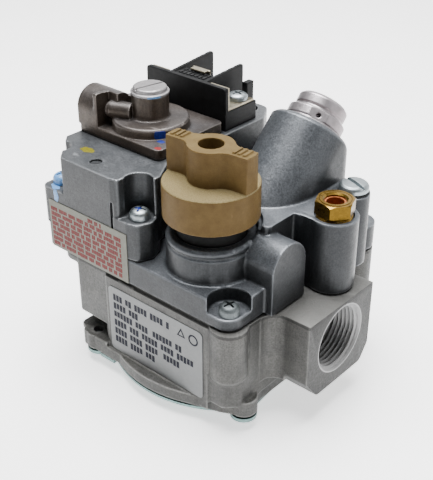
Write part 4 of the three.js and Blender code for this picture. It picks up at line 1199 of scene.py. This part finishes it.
def bright_metal(name, color, rough, metallic=1.0, haze=0.3, scratch=0.25, slope_light_tones=None):
    """Plated or turned metal: faint haze, fine scratches, tiny dents, painted shade in inner corners, painted
    light and shade by slope where given.
    """
    f = Finish(name, Metallic=metallic)
    tone = f.noise(0.5, 4.0, 0.6)
    dark = tuple(c * (1 - haze) for c in color)
    shade = f.ramp(tone, (0.3, dark), (0.65, color))
    # painted shade in inner corners
    shade = f.mix("MULTIPLY", f.crevices(0.40, 0.48), shade, (0.35, 0.35, 0.35))
    # painted light and shade by how level each face lies
    if slope_light_tones:
        shade = f.paint_slope_light(shade, *slope_light_tones)
    fine = f.noise(3.0, 3.0, 0.6, stretch=(1.0, 1.0, 9.0))
    f.bump(fine, scratch, 0.04)
    f.bump(f.noise(1.1, 2.0), 0.15, 0.06)
    return f.done(shade, f.noise(1.6, 4.0), rough * 0.8, rough * 1.35)


def moulded(name, dark, light, rough, grain=0.2, scale=2.2, shelf=None, sheen=0.5, slope_light_tones=None):
    """Moulded plastic or rubber: fine grain, slight colour drift, dust and painted shade in inner corners,
    edges lightened for wear and a painted highlight, painted light and shade by slope where given.
    """
    f = Finish(name, Specular_IOR_Level=sheen)
    color = f.ramp(f.noise(0.25, 4.0, 0.6), (0.3, dark), (0.7, light))
    color = f.times(color, 0.6, f.noise(scale * 1.2, 3.0), (0.35, 0.8), (0.65, 1.08))
    dust_and_shade = (0.62, 0.55, 0.46) if light[0] > 0.3 else (0.6, 0.6, 0.6)
    # dust and painted shade in inner corners
    color = f.mix("MULTIPLY", f.crevices(0.41, 0.49), color, dust_and_shade)
    # edges lightened for wear and a painted highlight
    wear_and_highlight = f.math("MULTIPLY", f.edges(0.52, 0.6), 0.3)
    color = f.mix("MIX", wear_and_highlight, color, tuple(min(1, c * 1.35 + 0.02) for c in light))
    # painted light and shade by how level each face lies
    if slope_light_tones:
        color = f.paint_slope_light(color, *slope_light_tones)
    f.bump(f.noise(scale, 3.0, 0.6), grain, 0.1)
    if shelf is not None:
        band = f.level_band(shelf, 0.35)
        f.bump(f.math("MULTIPLY", f.noise(1.9, 2.0, 0.5), band), 1.0, 0.4)
        sandy = f.ramp(f.noise(2.2, 3.0), (0.35, (0.118, 0.090, 0.040)), (0.65, (0.180, 0.142, 0.068)))
        color = f.mix("MIX", band, color, sandy)
    return f.done(color, f.noise(1.2, 3.0), rough - 0.06, rough + 0.08)


def paper(name, dark, light, rough):
    """Printed film or paper: fibres, faint stains."""
    f = Finish(name)
    color = f.ramp(f.noise(0.12, 4.0, 0.6), (0.3, dark), (0.7, light))
    fibres = f.noise(1.8, 5.0, 0.7, stretch=(0.4, 1.0, 1.0))
    color = f.times(color, 0.5, fibres, (0.3, 0.86), (0.7, 1.04))
    f.bump(f.noise(1.2, 4.0, 0.6), 0.12, 0.05)
    return f.done(color, f.noise(0.9, 2.0), rough - 0.05, rough + 0.1)


def ink(name, dark, light, rough=0.55, sheen=0.5):
    """Print or dried paint: patchy tone."""
    f = Finish(name, Specular_IOR_Level=sheen)
    color = f.ramp(f.noise(1.4, 4.0, 0.65), (0.36, dark), (0.66, light))
    f.bump(f.noise(4.0, 2.0), 0.15, 0.03)
    return f.done(color, f.noise(2.0), rough - 0.08, rough + 0.1)


def wound_copper():
    """Copper wire side by side on the bobbin."""
    f = Finish("copper_winding", Metallic=0.85)
    turns = f.lines(1.3, "Z", 0.1)
    color = f.ramp(turns, (0.1, (0.2, 0.06, 0.025)), (0.6, (0.72, 0.29, 0.13)))
    color = f.times(color, 0.5, f.noise(0.7, 4.0), (0.3, 0.6), (0.7, 1.1))
    f.bump(turns, 0.9, 0.25)
    return f.done(color, f.noise(1.5), 0.3, 0.5)


def mesh_screen():
    """Woven wire of the inlet strainer."""
    f = Finish("strainer_mesh", Metallic=0.9)
    weave = f.math("MULTIPLY", f.lines(1.1, "Y", 0.0), f.lines(1.1, "Z", 0.0))
    color = f.ramp(weave, (0.1, (0.12, 0.12, 0.12)), (0.5, (0.6, 0.6, 0.58)))
    f.bump(weave, 0.9, 0.25)
    return f.done(color, f.noise(1.5), 0.3, 0.5)


# the three tones for upright, slanting and level faces are painted light and shade
LOOKS = {
    "lower": cast_metal(
        "cast_lower", (0.066, 0.066, 0.064), (0.118, 0.118, 0.113), (0.97, 0.95, 0.91), 0.5, 0.50, 0.5,
        (0.62, 0.85, 1.0), LOWER_TOP - 0.06),
    "upper": cast_metal(
        "cast_upper", (0.050, 0.054, 0.060), (0.074, 0.079, 0.086), (0.97, 0.99, 1.0), 0.6, 0.40, 0.26,
        (0.33, 1.2, 1.55)),
    "housing": cast_metal(
        "cast_housing", (0.058, 0.062, 0.066), (0.088, 0.092, 0.097), (0.97, 0.98, 1.0), 0.6, 0.41, 0.24,
        (0.35, 0.8, 1.08)),
    "bonnet": cast_metal(
        "zinc_brown", (0.046, 0.038, 0.032), (0.086, 0.077, 0.072), (0.92, 0.82, 0.72), 0.55, 0.42, 0.34,
        ((0.78, 0.70, 0.62), (0.82, 0.81, 0.82), (1.05, 1.14, 1.28)), corner_shade=0.8),
    "plated": bright_metal("zinc_plated", (0.30, 0.335, 0.35), 0.4, haze=0.15, scratch=0.06),
    "dull_plated": bright_metal("dull_zinc_plated", (0.13, 0.145, 0.15), 0.5, haze=0.2, scratch=0.08),
    "collar": bright_metal(
        "satin_collar", (0.36, 0.335, 0.345), 0.36, 0.85, 0.2, 0.12,
        ((0.72, 0.68, 0.68), (0.9, 0.9, 0.9), (1.0, 1.0, 1.0))),
    "cap": bright_metal("turned_cap", (0.27, 0.26, 0.265), 0.45, 0.85, 0.2, 0.15),
    "plate": bright_metal("zinc_chromate", (0.17, 0.26, 0.25), 0.3, 0.95, 0.35),
    "steel": bright_metal("plain_steel", (0.55, 0.55, 0.54), 0.34),
    "spring": bright_metal("spring_steel", (0.42, 0.42, 0.43), 0.3),
    "brass": bright_metal(
        "brass", (0.27, 0.165, 0.035), 0.3, 1.0, 0.25, 0.05,
        ((0.40, 0.38, 0.28), (0.7, 0.7, 0.6), (1.0, 1.0, 1.0))),
    "copper_seat": bright_metal("copper_seat", (0.55, 0.20, 0.08), 0.4, 1.0, 0.2),
    "tin": bright_metal("tinned_plate", (0.40, 0.36, 0.27), 0.33, 1.0, 0.4),
    "tan": moulded(
        "tan_plastic", (0.130, 0.071, 0.020), (0.172, 0.099, 0.031), 0.5, 0.4, 2.4, KNOB_SHELF, 0.08,
        ((0.61, 0.67, 0.74), (0.66, 0.73, 0.82), (0.66, 0.79, 0.96))),
    "black": moulded(
        "black_plastic", (0.0025, 0.0026, 0.003), (0.006, 0.0063, 0.007), 0.45, 0.12, 1.6, sheen=0.12),
    "guide": moulded("black_guide", (0.002, 0.002, 0.002), (0.005, 0.005, 0.005), 0.6, 0.15, sheen=0.06),
    "bobbin": moulded("bobbin_plastic", (0.62, 0.58, 0.47), (0.76, 0.72, 0.62), 0.5, 0.15),
    "rubber": moulded("rubber", (0.003, 0.003, 0.003), (0.010, 0.010, 0.010), 0.68, 0.35, 1.4, sheen=0.2),
    "label": paper("label_film", (0.112, 0.117, 0.118), (0.135, 0.140, 0.141), 0.42),
    "sticker": paper("sticker_paper", (0.106, 0.105, 0.083), (0.134, 0.134, 0.108), 0.6),
    "print": ink("black_print", (0.004, 0.004, 0.008), (0.014, 0.014, 0.024), sheen=0.1),
    "red": ink("red_print", (0.085, 0.003, 0.003), (0.135, 0.009, 0.008), sheen=0.2),
    "blue_light": ink("light_blue_paint", (0.055, 0.16, 0.36), (0.12, 0.27, 0.50), 0.35),
    "blue_dark": ink("dark_blue_paint", (0.002, 0.007, 0.09), (0.005, 0.018, 0.16), 0.45, 0.25),
    "red_mark": ink("red_mark", (0.12, 0.006, 0.008), (0.20, 0.015, 0.015), 0.5, 0.2),
    "yellow": ink("yellow_paint", (0.085, 0.075, 0.002), (0.135, 0.120, 0.005), 0.5, 0.15),
    "copper": wound_copper(),
    "mesh": mesh_screen(),
}


# ---- pieces
def fixed(piece, name, slot, look, *nodes):
    """Places a finished piece on the valve itself."""
    return place(piece, name, "valve", slot, LOOKS[look], *nodes)


fixed(lower_casting(), "lower_casting", "cast_body", "lower", "lower_body")
fixed(upper_casting(), "upper_casting", "cast_upper", "upper", "upper_body")
fixed(housing_casting(), "housing_casting", "cast_upper", "housing", "operator_housing")
fixed(joint_gasket(), "joint_gasket", "rubber", "rubber", "body_gasket")
fixed(housing_gasket(), "housing_gasket", "rubber", "rubber", "operator_gasket")
fixed(bottom_plate(), "base_plate", "zinc_plated", "plate", "bottom_plate")
for i, (x, y) in enumerate(BOLTS):
    screw = pan_screw(0, 0, 0, 7.6, 3.8, 2.1, 2.2, 15 + 40 * i)
    flip = Matrix.Translation((x, y, CLAMP_RIM - PLATE_T)) @ Matrix.Rotation(math.pi, 4, "X")
    fixed(moved(screw, flip), f"base_screw_{i + 1}", "zinc_plated", "plated", f"bottom_screw_{i + 1}")
for i, (x, y) in enumerate(OPERATOR_SCREWS):
    screw = pan_screw(x, y, SHELF, 23, 3.9, 2, 4, [25, 70, 10, 50][i])
    look = "blue_light" if i == 1 else "plated"
    fixed(screw, f"housing_screw_{i + 1}", "zinc_plated", look, f"operator_screw_{i + 1}")
for i, (x, y) in enumerate(BODY_SCREWS):
    seat = DECK if i else SCREW_SEAT
    screw = pan_screw(x, y, seat, seat + 14, 3.9, 2, 4.2, 80 - 25 * i)
    fixed(screw, f"deck_screw_{i + 1}", "zinc_plated", "dull_plated", f"body_screw_{i + 1}")

fixed(regulator_bonnet(), "bonnet_casting", "zinc_bonnet", "bonnet", "regulator_bonnet")
fixed(servo_sheet(), "servo_sheet", "rubber", "rubber", "servo_diaphragm")
screw = pan_screw(*BONNET_SCREW, REG_PLATE, 7, 2.9, 1.5, 1.8, 60)
fixed(screw, "bonnet_fixing", "zinc_plated", "plated", "bonnet_screw_1")
fixed(slotted_cap(), "slotted_cap", "zinc_plated", "cap", "regulator_cap")

place(knob_piece(), "knob_handle", "knob", "tan_plastic", LOOKS["tan"], "knob")
place(knob_stem(), "knob_shaft", "knob", "brass", LOOKS["brass"], "knob_stem")
fixed(stem_guide(), "neck_ring", "black_plastic", "guide", "stem_guide")

fixed(magnet_collar(), "magnet_collar", "plain_steel", "collar", "magnet_nut")
fixed(pilot_nut(), "pilot_fitting", "brass", "brass", "pilot_nut")
fixed(pilot_sleeve(), "pilot_seat_ring", "brass", "copper_seat")
fixed(pilot_cap(), "pilot_slotted_cap", "zinc_plated", "plated", "pilot_cap")
fixed(ring_seal(), "pilot_ring", "rubber", "rubber", "pilot_cap_ring")

fixed(terminal_block(), "terminal_moulding", "black_plastic", "black", "terminal_block")
for i, (x, y) in enumerate(TERMINALS):
    shape = (LEDGE_BACK + 0.2, 2.2, 62) if i == 1 else (WALL_BACK + 0.2, 0, 60.8)
    tab = terminal_plate(x, y, *shape)
    fixed(tab, f"terminal_tab_{i + 1}", "brass", "tin", f"terminal_plate_{i + 1}")
    screw = pan_screw(x, y, BLOCK_TOP + 0.9, 6.4, 3.9 if i == 1 else 4.2, 1.8, 2.8, 30 + 25 * i)
    fixed(screw, f"terminal_fixing_{i + 1}", "zinc_plated", "plated", f"terminal_screw_{i + 1}")

fixed(label_plate(), "label_film", "label_film", "label", "front_label")
fixed(label_print(), "label_print", "label_film", "print")
fixed(label_marks(), "label_marks", "label_film", "print")
fixed(sticker_plate(), "sticker_film", "sticker_film", "sticker", "warning_sticker")
fixed(sticker_print(), "sticker_print", "sticker_film", "red")

# paint dabs left by the assembler
fixed(daub((-45, -32.7, 3.3, 2.0), HOUSING_TOP, 0.12, 0.06, 3), "paint_yellow", "sticker_film", "yellow")
drip = join(
    daub((-56.4, -40.4, 2.2, 2.0), SHELF, 0.1, 0.05, 5),
    daub((-54.6, -42.2, 1.9, 1.4), SHELF, 0.1, 0.05, 6),
    facing_front(daub((-52.9, 24.6, 1.4, 2.7), 0, 0.1, 0.06, 8)),
)
fixed(drip, "paint_drip", "sticker_film", "blue_light")
head_dab = daub((-12.5, -37.8, 1.5, 1.2), SHELF + 3.6, 0.3, 0.1, 9)
fixed(head_dab, "paint_screw", "sticker_film", "blue_dark")
bearing = math.radians(-32)
disc_dab = keep(
    tube(RX, RY, REG_PLATE + 0.02, REG_DISC - 0.6, REG_DISC_R + 0.1, REG_DISC_R - 0.2),
    bar((RX, RY, 50), (RX + 17 * math.cos(bearing), RY + 17 * math.sin(bearing), 49.4), 0.5, 2.6),
)
disc_dab = join(disc_dab, daub((-21.9, -15.4, 1.7, 1.2), REG_PLATE, 0.1, 0.08, 10))
fixed(disc_dab, "paint_disc", "sticker_film", "blue_dark")
fixed(daub((-18.4, -20.5, 1.5, 1.2), REG_PLATE, 0.08, 0.1, 11), "paint_red", "sticker_film", "red_mark")
rim_band = tube(RX, RY, REG_TOP + 0.05, 62.05, 7.76, 7.5)
rim_dab = keep(rim_band, moved(box(0, 12, -2.6, 2.6, 60, 63), spin(-33, RX, RY)))
fixed(rim_dab, "paint_rim", "sticker_film", "blue_light")

# coil springs, each on a mesh of its own, then the diaphragm sheet; the spring table lists:
# CAD node, joint, place, both ends, coil and wire radius, turns, travel, whether the top end is held
SPRINGS = [
    ("main_valve_spring", "main_valve_open", (MX, MY), CLAMP_RIM - DISH_DEPTH, LIFT_Z - 2.4,
     9, 0.5, 3, 2.5, False),
    ("knob_spring", "knob_push", (KX, KY), 30, 41, 6.4, 0.55, 4, 3.5, False),
    ("plunger_spring", "plunger_lift", (SX, SY), 22, 27.5, 2.2, 0.33, 4, 1.3, True),
]
for node, joint, (x, y), z0, z1, radius, wire, turns, travel, top_held in SPRINGS:
    spring = fixed(coil(x, y, z0, z1, radius, wire, turns), node + "_wire", "spring_steel", "spring", node)
    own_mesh(spring)
sheet = dress(main_diaphragm(), "main_diaphragm_sheet", "rubber", LOOKS["rubber"], "main_diaphragm")
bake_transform(sheet)

# the other inner pieces stay as the CAD has them and take their finish here
INNER = {
    "main_valve_stem": "steel", "main_valve_disc": "rubber", "cock_plug": "brass", "push_rod": "steel",
    "safety_armature": "steel", "safety_disc": "rubber", "safety_spring": "spring",
    "magnet_unit": "brass", "pilot_adjust_screw": "brass", "solenoid_yoke": "plated",
    "solenoid_bobbin": "bobbin", "solenoid_coil": "copper", "solenoid_core": "steel",
    "solenoid_plunger": "steel", "plunger_seal": "rubber", "regulator_spring_seat": "steel",
    "regulator_spring": "spring", "regulator_adjust_screw": "brass", "inlet_strainer": "mesh",
}
for name, look in INNER.items():
    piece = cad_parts[name]
    piece.data.materials.clear()
    piece.data.materials.append(LOOKS[look])


# ---- floor, light and camera
def backdrop():
    """Pale floor that curves up into a wall behind the object, in metres."""
    size, bend = 3.0, 0.8
    section = [(-size, 0.0)]
    for a in quarter_turn(12):
        section.append((size + bend * math.sin(a), bend * (1 - math.cos(a))))
    section.append((size + bend, 4.0))
    verts = [(x, y, z) for y, z in section for x in (-5, 5)]
    faces = [(2 * i, 2 * i + 1, 2 * i + 3, 2 * i + 2) for i in range(len(section) - 1)]
    floor = solid(verts, faces)
    floor.name = "floor"
    shaded(floor, 60)
    f = Finish("floor_paper", Roughness=0.9)
    color = f.ramp(f.noise(0.01, 2.0), (0.3, (0.90, 0.90, 0.90)), (0.7, (0.93, 0.93, 0.93)))
    f.bump(f.noise(1.0, 3.0), 0.05, 0.1)
    f.shader.inputs["Emission Color"].default_value = (1, 1, 1, 1)
    f.shader.inputs["Emission Strength"].default_value = 1.2
    floor.data.materials.append(f.done(color))


def softbox(name, position, target, size, power):
    """Rectangular studio light in metres and watts."""
    data = bpy.data.lights.new(name, "AREA")
    data.shape = "RECTANGLE"
    data.size, data.size_y = size
    data.energy = power
    lamp = bpy.data.objects.new(name, data)
    lamp.location = position
    lamp.rotation_euler = (Vector(target) - Vector(position)).to_track_quat("-Z", "Y").to_euler()
    scene.collection.objects.link(lamp)


backdrop()
world = bpy.data.worlds.new("studio")
world.use_nodes = True
background = world.node_tree.nodes["Background"]
background.inputs["Color"].default_value = (1, 1, 1, 1)
background.inputs["Strength"].default_value = 0.16
scene.world = world
softbox("key", (-0.10, 0.05, 0.85), (0, 0, 0.05), (0.6, 0.6), 30)
softbox("right", (0.75, 0.15, 0.35), (0, 0, 0.04), (0.3, 0.6), 1.4)
softbox("front", (-0.55, -0.65, 0.35), (0, 0, 0.04), (0.5, 0.4), 0.3)

# the photo's viewpoint, solved from its vanishing directions
AZIMUTH, ELEVATION = math.radians(41.4), math.radians(30.6)
VIEWPOINT = (208.13, -244.07, 195.14)
LENS, SENSOR = 69.15, 36
camera_data = bpy.data.cameras.new("camera")
camera_data.lens = LENS
camera_data.sensor_width = SENSOR
camera = bpy.data.objects.new("camera", camera_data)
camera.location = row_point(*VIEWPOINT)
camera.rotation_euler = (math.pi / 2 - ELEVATION, 0, AZIMUTH)
scene.collection.objects.link(camera)
scene.camera = camera
